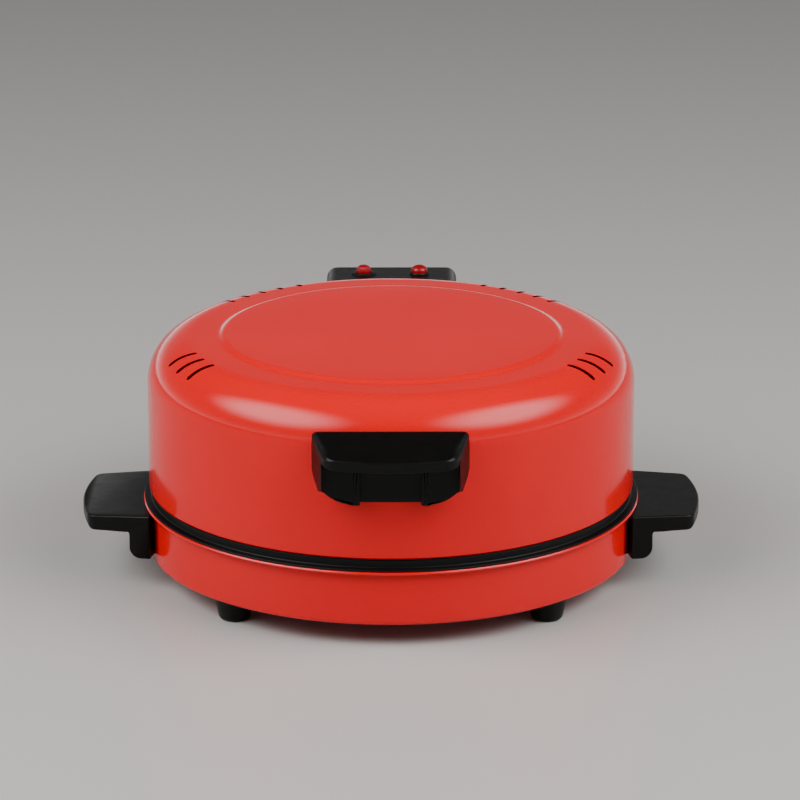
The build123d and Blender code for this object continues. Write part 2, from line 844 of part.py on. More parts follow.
liner_screw_list = [
    headed_pin(
        Plane((x, y, liner_top)),
        screw_head_radius,
        screw_head_height,
        screw_radius,
        liner_sheet + liner_screw_reach,
    )
    for x in (-liner_post_offset, liner_post_offset)
    for y in (-liner_post_offset, liner_post_offset)
]
with BuildPart() as liner_screws:
    add(liner_screw_list)
liner_screws.part.label = "liner_screws"

# Lid handle: a block seated on the lid with a sloping shelf over the finger space
shelf_slope = shelf_drop / (shelf_front - shelf_back)
shelf_front_top = lid_handle_top - shelf_drop
shelf_under_back = lid_handle_top - shelf_thickness - (handle_block_front - shelf_back) * shelf_slope
shelf_under_front = shelf_front_top - shelf_thickness
with BuildPart() as lid_handle:
    with BuildSketch(Plane.XY.offset(lid_handle_bottom)) as handle_plan:
        with BuildLine():
            Polyline(
                (-lid_handle_half, -body_radius + shelf_corner),
                (-lid_handle_half, -body_radius),
                (-shelf_front_half, -shelf_front),
                (shelf_front_half, -shelf_front),
                (lid_handle_half, -body_radius),
                (lid_handle_half, -body_radius + shelf_corner),
                close=True,
            )
        make_face()
        fillet(handle_plan.vertices().group_by(Axis.Y)[0], shelf_corner)
    extrude(amount=lid_handle_height)
    with BuildSketch(Plane.XZ) as front_view:
        with Locations((0, lid_handle_bottom + lid_handle_height / 2)):
            Rectangle(2 * lid_handle_half, lid_handle_height)
        fillet(front_view.vertices().group_by(Axis.Y)[0], lid_handle_lower_corner)
        fillet(front_view.vertices().group_by(Axis.Y)[-1], lid_handle_upper_corner)
    extrude(amount=beyond, mode=Mode.INTERSECT)
    with BuildSketch(Plane.YZ):
        with BuildLine():
            Polyline(
                (-shelf_back, lid_handle_top),
                (-shelf_front, shelf_front_top),
                (-beyond, shelf_front_top),
                (-beyond, beyond),
                (-shelf_back, beyond),
                close=True,
            )
        make_face()
    extrude(amount=lid_handle_half, both=True, mode=Mode.SUBTRACT)
    with BuildSketch(Plane.YZ):
        with BuildLine():
            Polyline(
                (-handle_block_front, 0),
                (-handle_block_front, shelf_under_back),
                (-shelf_front, shelf_under_front),
                (-beyond, shelf_under_front),
                (-beyond, 0),
                close=True,
            )
        make_face()
    extrude(amount=recess_half, both=True, mode=Mode.SUBTRACT)
    with BuildSketch(Plane.YZ):
        with BuildLine():
            Polyline(
                (-cheek_foot, 0),
                (-cheek_foot, lid_handle_bottom),
                (-cheek_front, lid_handle_bottom + cheek_rise),
                (-cheek_front, shelf_under_front + (shelf_front - cheek_front) * shelf_slope),
                (-shelf_front, shelf_under_front),
                (-beyond, shelf_under_front),
                (-beyond, 0),
                close=True,
            )
        make_face()
    extrude(amount=lid_handle_half, both=True, mode=Mode.SUBTRACT)
    with BuildSketch(Plane.XY.offset(lid_handle_bottom)):
        for side in (-1, 1):
            with Locations((side * (rib_inner + rib_outer) / 2, -handle_block_front)):
                Rectangle(rib_outer - rib_inner, 2 * rib_proud)
    extrude(amount=shelf_under_back - lid_handle_bottom)
    with BuildSketch(Plane.XY.offset(lid_handle_bottom)):
        with Locations((0, -handle_block_front)):
            Rectangle(2 * rib_inner, 2 * pocket_depth)
    extrude(amount=shelf_under_back - lid_handle_bottom, mode=Mode.SUBTRACT)
    with BuildSketch(Plane.XY.offset(handle_seat_top)):
        with Locations((0, -shelf_back_face + beyond / 2)):
            Rectangle(beyond, beyond)
    extrude(amount=lid_handle_height, mode=Mode.SUBTRACT)
    with BuildSketch(Plane.XY):
        Circle(body_radius + seat_gap)
    extrude(amount=beyond, mode=Mode.SUBTRACT)
    add(
        cylinder_cut(
            wall_places(lid_handle_azimuths, [lid_handle_screw_height]),
            screw_radius + seat_gap,
            lid_handle_screw_reach + thread_end,
        ),
        mode=Mode.SUBTRACT,
    )
lid_handle.part.label = "lid_handle"

lid_handle_screw_list = [
    wall_screw(azimuth, lid_handle_screw_height, lid_handle_screw_reach)
    for azimuth in lid_handle_azimuths
]
with BuildPart() as lid_handle_screws:
    add(lid_handle_screw_list)
lid_handle_screws.part.label = "lid_handle_screws"

# The room that the lid takes up, used to fit the upper housing to it
with BuildPart() as lid_envelope:
    with BuildSketch(Plane.XZ):
        with BuildLine():
            Line((0, 0), (body_radius + seat_gap, 0))
            side_line = Line((body_radius + seat_gap, 0), (body_radius + seat_gap, shoulder_start))
            round_line = JernArc(side_line @ 1, (0, 1), shoulder_radius + seat_gap, 90)
            Line(round_line @ 1, (0, lid_top + seat_gap))
            Line((0, lid_top + seat_gap), (0, 0))
        make_face()
    revolve(axis=Axis.Z)

with BuildPart() as base_envelope:
    with BuildSketch(Plane.XY):
        Circle(body_radius + seat_gap)
    extrude(amount=base_top)


def rear_housing(bottom, top, top_round, envelope, screw_heights, arm_middle, slot_face):
    """A hollow box on the back of a round shell, open towards that shell."""
    depth = housing_back - back_start
    middle = (bottom + top) / 2
    inner_back = -housing_inner_back
    with BuildPart() as housing:
        with BuildSketch(Plane.XZ.offset(-housing_back)) as outside:
            with Locations((0, middle)):
                Rectangle(2 * housing_half, top - bottom)
            fillet(outside.vertices().group_by(Axis.Y)[-1], top_round)
            fillet(outside.vertices().group_by(Axis.Y)[0], housing_corner)
        extrude(amount=depth)
        fillet(housing.faces().sort_by(Axis.Y)[-1].edges(), housing_back_edge)
        with BuildSketch(Plane.XZ.offset(inner_back)) as inside:
            with Locations((0, middle)):
                Rectangle(2 * (housing_half - housing_wall), top - bottom - 2 * housing_wall)
            fillet(inside.vertices().group_by(Axis.Y)[-1], top_round - housing_wall)
            fillet(inside.vertices().group_by(Axis.Y)[0], housing_corner - housing_wall)
        extrude(amount=depth, mode=Mode.SUBTRACT)
        for place in wall_places(boss_azimuths, screw_heights):
            with BuildSketch(place):
                Circle(boss_radius)
            extrude(amount=boss_length)
        add(
            cylinder_cut(
                wall_places(boss_azimuths, screw_heights),
                screw_radius + seat_gap,
                housing_screw_reach + thread_end,
            ),
            mode=Mode.SUBTRACT,
        )
        add(envelope, mode=Mode.SUBTRACT)
        slot_length = housing_inner_back - body_radius
        with BuildSketch(Plane.XY.offset(slot_face)):
            for side in (-1, 1):
                with Locations((side * arm_middle, housing_inner_back - slot_length / 2)):
                    Rectangle(arm_thickness + 2 * slot_gap, slot_length)
        extrude(amount=wall_cut, both=True, mode=Mode.SUBTRACT)
    return housing.part


upper_housing_solid = rear_housing(
    upper_housing_bottom,
    upper_housing_top,
    housing_top_round,
    lid_envelope.part,
    upper_screw_heights,
    lid_arm_inner + arm_thickness / 2,
    upper_housing_bottom,
)
with BuildPart() as rear_housing_upper:
    add(upper_housing_solid)
    with BuildSketch(Plane.XY.offset(upper_housing_top)):
        with Locations((-lamp_x, lamp_y), (lamp_x, lamp_y)):
            Circle(holder_radius + seat_gap)
    extrude(amount=wall_cut, both=True, mode=Mode.SUBTRACT)
rear_housing_upper.part.label = "rear_housing_upper"

lower_housing_solid = rear_housing(
    lower_housing_bottom,
    lower_housing_top,
    housing_corner,
    base_envelope.part,
    [lower_screw_height],
    base_arm_inner + arm_thickness / 2,
    lower_housing_top,
)
with BuildPart() as rear_housing_lower:
    add(lower_housing_solid)
    with BuildSketch(Plane.XZ.offset(-housing_back)):
        with Locations((0, gland_height)):
            Circle(gland_hole)
    extrude(amount=wall_cut, both=True, mode=Mode.SUBTRACT)
rear_housing_lower.part.label = "rear_housing_lower"

upper_housing_screw_list = [
    wall_screw(azimuth, height, housing_screw_reach)
    for azimuth in boss_azimuths
    for height in upper_screw_heights
]
with BuildPart() as upper_housing_screws:
    add(upper_housing_screw_list)
upper_housing_screws.part.label = "upper_housing_screws"

lower_housing_screw_list = [
    wall_screw(azimuth, lower_screw_height, housing_screw_reach) for azimuth in boss_azimuths
]
with BuildPart() as lower_housing_screws:
    add(lower_housing_screw_list)
lower_housing_screws.part.label = "lower_housing_screws"

# Hinge brackets: an arm in the YZ plane and a flange riveted to the round wall
hinge_centre = (hinge_y, hinge_z)
arm_tip = (body_radius, lid_flange_top)
rear_touch = tangent_point(hinge_centre, ear_radius, arm_tip, -1)
front_touch = tangent_point(hinge_centre, ear_radius, (body_radius, lid_flange_bottom), 1)
arm_bearing = atan2(arm_tip[1] - rear_touch[1], arm_tip[0] - rear_touch[0])
open_bearing = arm_bearing - radians(open_angle)
stop_offset = ear_radius + stop_radius + stop_gap
stop_y = hinge_y + stop_shift * cos(open_bearing) + stop_offset * sin(open_bearing)
stop_z = hinge_z + stop_shift * sin(open_bearing) - stop_offset * cos(open_bearing)


def hinge_flange(bottom, top, inner_x, outer_x):
    """A curved strip of bracket that lies on the back of the round wall."""
    with BuildPart() as flange:
        with BuildSketch(Plane.XY.offset(bottom)):
            Circle(flange_outside)
            Circle(flange_inside, mode=Mode.SUBTRACT)
            with Locations(((inner_x + outer_x) / 2, body_radius)):
                Rectangle(outer_x - inner_x, body_radius, mode=Mode.INTERSECT)
        extrude(amount=top - bottom)
    return flange.part


base_flange = hinge_flange(base_arm_bottom, base_arm_top, base_flange_inner, base_arm_outer)
with BuildPart() as base_bracket_right:
    with BuildSketch(Plane.YZ.offset(base_arm_inner)):
        with BuildLine():
            Polyline(
                (back_start, base_arm_bottom),
                (hinge_y + base_neck_half, base_arm_bottom),
                (hinge_y + base_neck_half, hinge_z),
                (hinge_y - base_neck_half, hinge_z),
                (hinge_y - base_neck_half, base_arm_top),
                (back_start, base_arm_top),
                close=True,
            )
        make_face()
        with Locations(hinge_centre):
            Circle(ear_radius)
        with Locations((stop_y, stop_z)):
            Circle(stop_lobe)
    extrude(amount=arm_thickness)
    with BuildSketch(Plane.XY):
        Circle(flange_inside)
    extrude(amount=beyond, mode=Mode.SUBTRACT)
    add(base_flange)
    with BuildSketch(Plane.YZ.offset(base_arm_inner)):
        with Locations((stop_y, stop_z)):
            Circle(stop_radius)
    extrude(amount=lid_arm_outer - base_arm_inner)
    with BuildSketch(Plane.YZ.offset(base_arm_inner)):
        with Locations(hinge_centre):
            Circle(pin_radius + pin_fit)
    extrude(amount=arm_thickness, mode=Mode.SUBTRACT)
    add(
        cylinder_cut(
            wall_places(base_rivet_azimuths[:1], base_rivet_heights),
            rivet_radius + seat_gap,
            wall_cut,
        ),
        mode=Mode.SUBTRACT,
    )
with BuildPart() as base_hinge_brackets:
    add(base_bracket_right.part)
    add(base_bracket_right.part.mirror(Plane.YZ))
base_hinge_brackets.part.label = "base_hinge_brackets"

lid_flange = hinge_flange(lid_flange_bottom, lid_flange_top, lid_flange_inner, lid_arm_outer)
with BuildPart() as lid_bracket_right:
    with BuildSketch(Plane.YZ.offset(lid_arm_inner)):
        with BuildLine():
            Polyline(
                (back_start, lid_flange_top),
                arm_tip,
                rear_touch,
                hinge_centre,
                front_touch,
                (body_radius, lid_flange_bottom),
                (back_start, lid_flange_bottom),
                close=True,
            )
        make_face()
        with Locations(hinge_centre):
            Circle(ear_radius)
    extrude(amount=arm_thickness)
    with BuildSketch(Plane.XY):
        Circle(flange_inside)
    extrude(amount=beyond, mode=Mode.SUBTRACT)
    add(lid_flange)
    with BuildSketch(Plane.YZ.offset(lid_arm_inner)):
        with Locations(hinge_centre):
            Circle(pin_radius + running_gap)
    extrude(amount=arm_thickness, mode=Mode.SUBTRACT)
    add(
        cylinder_cut(
            wall_places(lid_rivet_azimuths[:1], lid_rivet_heights),
            rivet_radius + seat_gap,
            wall_cut,
        ),
        mode=Mode.SUBTRACT,
    )
with BuildPart() as lid_hinge_brackets:
    add(lid_bracket_right.part)
    add(lid_bracket_right.part.mirror(Plane.YZ))
lid_hinge_brackets.part.label = "lid_hinge_brackets"

base_rivet_list = [
    wall_rivet(azimuth, height) for azimuth in base_rivet_azimuths for height in base_rivet_heights
]
with BuildPart() as base_hinge_rivets:
    add(base_rivet_list)
base_hinge_rivets.part.label = "base_hinge_rivets"

lid_rivet_list = [
    wall_rivet(azimuth, height) for azimuth in lid_rivet_azimuths for height in lid_rivet_heights
]
with BuildPart() as lid_hinge_rivets:
    add(lid_rivet_list)
lid_hinge_rivets.part.label = "lid_hinge_rivets"

# Hinge pin, headed at -X, and the push-on retainer at its other end
pin_seat = Plane(origin=(-pin_end, hinge_y, hinge_z), x_dir=(0, 1, 0), z_dir=(1, 0, 0))
pin_solid = headed_pin(
    pin_seat, pin_head_radius, pin_head_length, pin_radius, 2 * pin_end + 2 * retainer_length
)
with BuildPart() as hinge_pin:
    add(pin_solid)
hinge_pin.part.label = "hinge_pin"

with BuildPart() as pin_retainer:
    with BuildSketch(Plane.YZ.offset(pin_end)):
        with Locations(hinge_centre):
            Circle(retainer_radius)
            Circle(pin_radius + pin_fit, mode=Mode.SUBTRACT)
    extrude(amount=retainer_length)
pin_retainer.part.label = "pin_retainer"

# Lamps: holder and nut in the housing, bezel and lens on top of it
with BuildPart() as lamp_holders:
    with BuildSketch(Plane.XY.offset(lens_bottom)):
        with Locations((-lamp_x, lamp_y), (lamp_x, lamp_y)):
            Circle(holder_radius)
    extrude(amount=-holder_length)
lamp_holders.part.label = "lamp_holders"

with BuildPart() as lamp_nuts:
    with BuildSketch(Plane.XY.offset(upper_housing_top - housing_wall)):
        with Locations((-lamp_x, lamp_y), (lamp_x, lamp_y)):
            RegularPolygon(lamp_nut_radius, 6)
            Circle(holder_radius + seat_gap, mode=Mode.SUBTRACT)
    extrude(amount=-lamp_nut_height)
lamp_nuts.part.label = "lamp_nuts"

with BuildPart() as lamp_bezels:
    for side in (-1, 1):
        with BuildSketch(Plane((side * lamp_x, lamp_y, upper_housing_top))):
            Circle(bezel_radius)
        with BuildSketch(Plane((side * lamp_x, lamp_y, upper_housing_top + bezel_height))):
            Circle(bezel_top_radius)
        loft()
    with BuildSketch(Plane.XY.offset(lens_bottom)):
        with Locations((-lamp_x, lamp_y), (lamp_x, lamp_y)):
            Circle(lens_radius + seat_gap)
    extrude(amount=bezel_height, mode=Mode.SUBTRACT)
    with BuildSketch(Plane.XY.offset(upper_housing_top)):
        with Locations((-lamp_x, lamp_y), (lamp_x, lamp_y)):
            Circle(holder_radius + seat_gap)
    extrude(amount=bezel_height, mode=Mode.SUBTRACT)
lamp_bezels.part.label = "lamp_bezels"

facet_start = lens_bottom + lens_wall
with BuildPart() as lamp_lens_left:
    with BuildSketch(Plane((-lamp_x, lamp_y, lens_bottom))):
        Circle(lens_radius)
    extrude(amount=lens_wall)
    with BuildSketch(Plane((-lamp_x, lamp_y, facet_start))):
        RegularPolygon(lens_radius, lens_facets)
    with BuildSketch(Plane((-lamp_x, lamp_y, facet_start + lens_dome))):
        RegularPolygon(facet_top_radius, lens_facets)
    loft()
lamp_lens_left.part.label = "lamp_lens_left"

dome_radius = (lens_radius**2 + lens_dome**2) / (2 * lens_dome)
dome_angle = degrees(asin(lens_radius / dome_radius))
with BuildPart() as lamp_lens_right:
    with BuildSketch(Plane((lamp_x, lamp_y, 0), x_dir=(1, 0, 0), z_dir=(0, -1, 0))):
        with BuildLine():
            Line((0, lens_bottom), (lens_radius, lens_bottom))
            Line((lens_radius, lens_bottom), (lens_radius, facet_start))
            CenterArc((0, facet_start + lens_dome - dome_radius), dome_radius, 90 - dome_angle, dome_angle)
            Line((0, facet_start + lens_dome), (0, lens_bottom))
        make_face()
    revolve(axis=Axis((lamp_x, lamp_y, 0), (0, 0, 1)))
lamp_lens_right.part.label = "lamp_lens_right"

# Thermostats, terminal block and cord gland
lid_thermostat_solid = thermostat(lid_thermostat_height)
with BuildPart() as lid_thermostat:
    add(lid_thermostat_solid)
lid_thermostat.part.label = "lid_thermostat"

base_thermostat_solid = thermostat(base_thermostat_height)
with BuildPart() as base_thermostat:
    add(base_thermostat_solid)
base_thermostat.part.label = "base_thermostat"

with BuildPart() as terminal_block:
    with BuildSketch(Plane((0, block_y, lower_housing_bottom + housing_wall))):
        Rectangle(block_length, block_depth)
    extrude(amount=block_height)
    with BuildSketch(Plane((0, block_y, lower_housing_bottom + housing_wall + block_height))):
        with GridLocations(block_pitch, block_row_pitch, block_ways, 2):
            Circle(screw_radius)
    extrude(amount=-block_screw_depth, mode=Mode.SUBTRACT)
terminal_block.part.label = "terminal_block"

with BuildPart() as cord_gland:
    with BuildSketch(Plane.XZ.offset(-housing_back)):
        with Locations((0, gland_height)):
            Circle(gland_flange)
    extrude(amount=-gland_flange_length)
    with BuildSketch(Plane.XZ.offset(-housing_back)):
        with Locations((0, gland_height)):
            Circle(gland_neck)
    extrude(amount=gland_neck_length)
    with BuildSketch(Plane.XZ.offset(-housing_back)):
        with Locations((0, gland_height)):
            Circle(gland_bore)
    extrude(amount=2 * gland_neck_length, both=True, mode=Mode.SUBTRACT)
cord_gland.part.label = "cord_gland"

pieces = [
    base_shell,
    foot_screws,
    foot_nuts,
    lower_reflector,
    plate_spacers,
    baking_plate,
    plate_screws,
    lower_heater,
    lower_heater_clips,
    side_handle_left,
    side_handle_right,
    side_handle_screws,
    rear_housing_lower,
    lower_housing_screws,
    base_thermostat,
    terminal_block,
    cord_gland,
    base_hinge_brackets,
    base_hinge_rivets,
    hinge_pin,
    pin_retainer,
    lid_shell,
    lid_liner,
    liner_posts,
    liner_screws,
    upper_heater,
    upper_heater_clips,
    lid_handle,
    lid_handle_screws,
    rear_housing_upper,
    upper_housing_screws,
    lamp_holders,
    lamp_nuts,
    lamp_bezels,
    lamp_lens_left,
    lamp_lens_right,
    lid_thermostat,
    lid_hinge_brackets,
    lid_hinge_rivets,
]
for piece in pieces:
    export_step(piece.part, f"parts/{piece.part.label}.step")
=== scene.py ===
import bpy
import bmesh
import json
import math
from mathutils import Matrix, Vector


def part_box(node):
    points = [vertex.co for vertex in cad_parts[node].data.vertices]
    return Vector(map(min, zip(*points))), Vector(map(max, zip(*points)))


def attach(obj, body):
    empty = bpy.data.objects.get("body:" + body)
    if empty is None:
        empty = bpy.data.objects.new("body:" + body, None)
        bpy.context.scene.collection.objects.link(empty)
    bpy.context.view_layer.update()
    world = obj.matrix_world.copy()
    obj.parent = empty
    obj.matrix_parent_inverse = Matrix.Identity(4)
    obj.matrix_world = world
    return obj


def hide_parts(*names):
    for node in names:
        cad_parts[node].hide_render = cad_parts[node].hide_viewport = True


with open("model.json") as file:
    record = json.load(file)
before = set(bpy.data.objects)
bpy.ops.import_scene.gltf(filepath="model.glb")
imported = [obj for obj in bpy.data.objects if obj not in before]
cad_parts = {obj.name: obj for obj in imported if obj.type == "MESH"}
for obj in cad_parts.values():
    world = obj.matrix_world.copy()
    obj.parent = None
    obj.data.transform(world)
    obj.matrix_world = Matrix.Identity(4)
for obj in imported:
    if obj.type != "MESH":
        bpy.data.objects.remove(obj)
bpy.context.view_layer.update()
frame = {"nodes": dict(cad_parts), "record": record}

nodes = frame["nodes"]
print("frame loaded:", len(nodes), "nodes")


# small tools: lengths are in millimetres until a piece is finished

onAxis = 1e-4  # a point nearer to Z than this lies on it
shortest = 1e-6  # a shorter edge has no direction


def toLinear(hexColour):  # sRGB hex to the linear colour that shaders use
    parts = [int(hexColour[i:i + 2], 16) / 255 for i in (1, 3, 5)]
    linear = [p / 12.92 if p <= 0.04045 else ((p + 0.055) / 1.055) ** 2.4 for p in parts]
    return (*linear, 1.0)


def addNode(tree, kind, inputs=None, stops=None, **settings):
    node = tree.nodes.new(kind)
    for name, value in settings.items():
        setattr(node, name, value)
    for name, value in (inputs or {}).items():
        if isinstance(value, bpy.types.NodeSocket):
            tree.links.new(value, node.inputs[name])
        else:
            node.inputs[name].default_value = value
    if stops:
        points = node.color_ramp.elements
        while len(points) < len(stops):
            points.new(0.5)
        for point, (place, colour) in zip(points, stops):
            point.position = place
            point.color = colour
    return node


def newMaterial(name):  # with its tree, and the place on the piece that patterns follow
    material = bpy.data.materials.new(name)
    material.use_nodes = True
    tree = material.node_tree
    tree.nodes.clear()
    return material, tree, addNode(tree, "ShaderNodeTexCoord").outputs["Object"]


def finishMaterial(material, tree, inputs):  # the surface shader and the output
    shader = addNode(tree, "ShaderNodeBsdfPrincipled", inputs)
    addNode(tree, "ShaderNodeOutputMaterial", {"Surface": shader.outputs["BSDF"]})
    return material


def perMm(size):  # texture scale that gives features of this many millimetres
    return 1000.0 / size


def colourMix(pattern, colours):  # settings that run from the first colour to the second
    return {0: pattern, 6: toLinear(colours[0]), 7: toLinear(colours[1])}


def glossRange(pattern, roughness, low=0.3, high=0.7):
    # settings that turn a pattern between low and high to gloss
    return {"Value": pattern.outputs["Fac"], "From Min": low, "From Max": high,
            "To Min": roughness[0], "To Max": roughness[1]}


def raisedGrain(tree, place, sizeMm, depthMm, detail=2.0, roughness=0.5):
    # the normal of a surface with fine random relief of this size and depth
    grain = addNode(
        tree, "ShaderNodeTexNoise",
        {"Vector": place, "Scale": perMm(sizeMm), "Detail": detail, "Roughness": roughness},
    )
    relief = {"Height": grain.outputs["Fac"], "Strength": 1.0, "Distance": depthMm / 1000}
    return addNode(tree, "ShaderNodeBump", relief).outputs["Normal"]


def roundedPath(corners, stepDeg):
    # corners are (x, y) or (x, y, radius); each is rounded by its own radius
    points = []
    for i, corner in enumerate(corners):
        here = Vector(corner[:2])
        radius = corner[2] if len(corner) > 2 else 0
        if radius == 0:
            points.append(here)
            continue
        before = (Vector(corners[i - 1][:2]) - here).normalized()
        after = (Vector(corners[(i + 1) % len(corners)][:2]) - here).normalized()
        turn = math.pi - before.angle(after)
        centre = here + (before + after).normalized() * (radius / math.cos(turn / 2))
        start = here + before * radius * math.tan(turn / 2) - centre
        first = math.atan2(start.y, start.x)
        side = 1 if before.cross(after) < 0 else -1
        steps = max(2, math.ceil(math.degrees(turn) / stepDeg))
        for k in range(steps + 1):
            angle = first + side * turn * k / steps
            points.append(centre + radius * Vector((math.cos(angle), math.sin(angle))))
    return points


def offsetPath(points, distance, mitre=0.3):
    # to the left of the path's direction; mitre limits how far a sharp corner is drawn out
    shifted = []
    for i, point in enumerate(points):
        back = (point - points[i - 1]).normalized() if i > 0 else None
        ahead = (points[i + 1] - point).normalized() if i < len(points) - 1 else None
        along = ((back or ahead) + (ahead or back)).normalized()
        left = Vector((-along.y, along.x))
        facing = Vector((-(back or ahead).y, (back or ahead).x))
        shifted.append(point + left * distance / max(mitre, left.dot(facing)))
    return shifted


def sheetLoop(path, thickness, roundStart, roundEnd, steps=6):
    # outline of a bent sheet: the path, its inner copy to the left, and rounded free edges
    inner = offsetPath(path, thickness)

    def edge(a, b):
        centre, arm = (a + b) / 2, (a - b) / 2
        turn = [math.pi * k / steps for k in range(1, steps)]
        outward = Vector((-arm.y, arm.x))
        return [centre + arm * math.cos(t) - outward * math.sin(t) for t in turn]

    loop = list(path)
    if roundEnd:
        loop += edge(path[-1], inner[-1])
    loop += inner[::-1]
    if roundStart:
        loop += edge(inner[0], path[0])
    return loop


def lathe(loop, segments=288):
    # turns a closed outline (radius, height) about Z; points on the axis become one vertex
    made = bmesh.new()
    rings = []
    for point in loop:
        if point.x < onAxis:
            rings.append([made.verts.new((0, 0, point.y))])
            continue
        ring = []
        for k in range(segments):
            angle = 2 * math.pi * k / segments
            place = (point.x * math.cos(angle), point.x * math.sin(angle), point.y)
            ring.append(made.verts.new(place))
        rings.append(ring)
    for lower, upper in zip(rings, rings[1:] + rings[:1]):
        if len(lower) == 1 and len(upper) == 1:
            continue
        for k in range(segments):
            after = (k + 1) % segments
            if len(lower) == 1:
                made.faces.new((lower[0], upper[after], upper[k]))
            elif len(upper) == 1:
                made.faces.new((lower[k], lower[after], upper[0]))
            else:
                made.faces.new((lower[k], lower[after], upper[after], upper[k]))
    bmesh.ops.recalc_face_normals(made, faces=made.faces)
    return made


axisOrder = {"XY": (0, 1, 2), "XZ": (0, 2, 1), "YZ": (1, 2, 0)}


def prism(outline, plane, low, high):
    # an outline in a plane, drawn out between two places on the third axis
    a, b, c = axisOrder[plane]
    made = bmesh.new()
    ends = []
    for place in (low, high):
        ring = []
        for point in outline:
            corner = [0.0, 0.0, 0.0]
            corner[a], corner[b], corner[c] = point[0], point[1], place
            ring.append(made.verts.new(corner))
        ends.append(ring)
    made.faces.new(ends[0])
    made.faces.new(ends[1])
    for k in range(len(outline)):
        after = (k + 1) % len(outline)
        made.faces.new((ends[0][k], ends[0][after], ends[1][after], ends[1][k]))
    bmesh.ops.recalc_face_normals(made, faces=made.faces)
    return made


def rod(start, along, radius, length, segments=32):
    # a round bar from start along a direction, as a cutter or a boss
    turned = Vector(along).to_track_quat("Z", "Y").to_matrix().to_4x4()
    made = bmesh.new()
    place = Matrix.Translation(Vector(start)) @ turned @ Matrix.Translation((0, 0, length / 2))
    bmesh.ops.create_cone(
        made, cap_ends=True, segments=segments, radius1=radius, radius2=radius, depth=length, matrix=place
    )
    return made


def evenly(points, step):  # a closed outline with points at even distances
    corners = [Vector(p[:2]) for p in points]
    marks = [0.0]
    for a, b in zip(corners, corners[1:] + corners[:1]):
        marks.append(marks[-1] + (b - a).length)
    count = round(marks[-1] / step)
    even = []
    k = 0
    for i in range(count):
        place = marks[-1] * i / count
        while marks[k + 1] < place:
            k += 1
        share = (place - marks[k]) / (marks[k + 1] - marks[k])
        even.append(corners[k].lerp(corners[(k + 1) % len(corners)], share))
    return even


def slab(outline, low, high, lowRound, highRound, steps=5):
    # an anticlockwise outline drawn up from low to high; its two rims are rounded by radii
    # that depend on the inward direction and the place
    made = bmesh.new()
    count = len(outline)
    inward = []
    for i in range(count):
        along = (outline[(i + 1) % count] - outline[i - 1]).normalized()
        inward.append(Vector((-along.y, along.x)))
    rings = []
    for rim, radiusOf, sense in ((low, lowRound, 1), (high, highRound, -1)):
        for k in range(steps + 1):
            turn = math.pi / 2 * k / steps
            turn = turn if sense > 0 else math.pi / 2 - turn
            ring = []
            for point, side in zip(outline, inward):
                radius = radiusOf(side, point)
                place = point + side * radius * (1 - math.sin(turn))
                lift = sense * radius * (1 - math.cos(turn))
                ring.append(made.verts.new((place.x, place.y, rim + lift)))
            rings.append(ring)
    for near, away in zip(rings, rings[1:]):
        for k in range(count):
            after = (k + 1) % count
            made.faces.new((near[k], near[after], away[after], away[k]))
    made.faces.new(rings[0])
    made.faces.new(rings[-1])
    bmesh.ops.recalc_face_normals(made, faces=made.faces)
    return made


def toObject(made, name="work"):
    mesh = bpy.data.meshes.new(name)
    made.to_mesh(mesh)
    made.free()
    piece = bpy.data.objects.new(name, mesh)
    bpy.context.scene.collection.objects.link(piece)
    return piece


def applyModifiers(piece):
    graph = bpy.context.evaluated_depsgraph_get()
    mesh = bpy.data.meshes.new_from_object(piece.evaluated_get(graph))
    piece.modifiers.clear()
    piece.data = mesh


def combine(piece, others, operation):
    # joins, cuts or intersects the piece with each of the other meshes in turn
    for other in others:
        tool = toObject(other)
        modifier = piece.modifiers.new("combine", "BOOLEAN")
        modifier.operation = operation
        modifier.solver = "EXACT"
        modifier.object = tool
        applyModifiers(piece)
        bpy.data.objects.remove(tool, do_unlink=True)


def merged(parts):  # several separate meshes as one, for a single cut
    whole = bmesh.new()
    for part in parts:
        mesh = bpy.data.meshes.new("part")
        part.to_mesh(mesh)
        part.free()
        whole.from_mesh(mesh)
        bpy.data.meshes.remove(mesh)
    return whole


softening = {"weld": 0.002, "flatDeg": 0.2, "cornerDeg": 28.0, "segments": 3}


def softenEdges(piece, widthOf):
    # cleans a cut mesh and rounds its corners by the width that a rule gives for each edge
    made = bmesh.new()
    made.from_mesh(piece.data)
    bmesh.ops.remove_doubles(made, verts=made.verts, dist=softening["weld"])
    flat = math.radians(softening["flatDeg"])
    bmesh.ops.dissolve_limit(made, angle_limit=flat, verts=made.verts, edges=made.edges)
    weight = made.edges.layers.float.new("bevel_weight_edge")
    corner = math.radians(softening["cornerDeg"])
    sharp = [e for e in made.edges if e.is_manifold and e.calc_face_angle() > corner]
    widths = [widthOf(e) for e in sharp]
    for edge, own in zip(sharp, widths):
        edge[weight] = own / max(widths)
    made.to_mesh(piece.data)
    made.free()
    rounding = piece.modifiers.new("rounded edges", "BEVEL")
    rounding.limit_method = "WEIGHT"
    rounding.width = max(widths)
    rounding.segments = softening["segments"]
    rounding.use_clamp_overlap = False
    rounding.loop_slide = True
    piece.data.shade_smooth()
    piece.modifiers.new("even shading", "WEIGHTED_NORMAL").keep_sharp = True
    applyModifiers(piece)


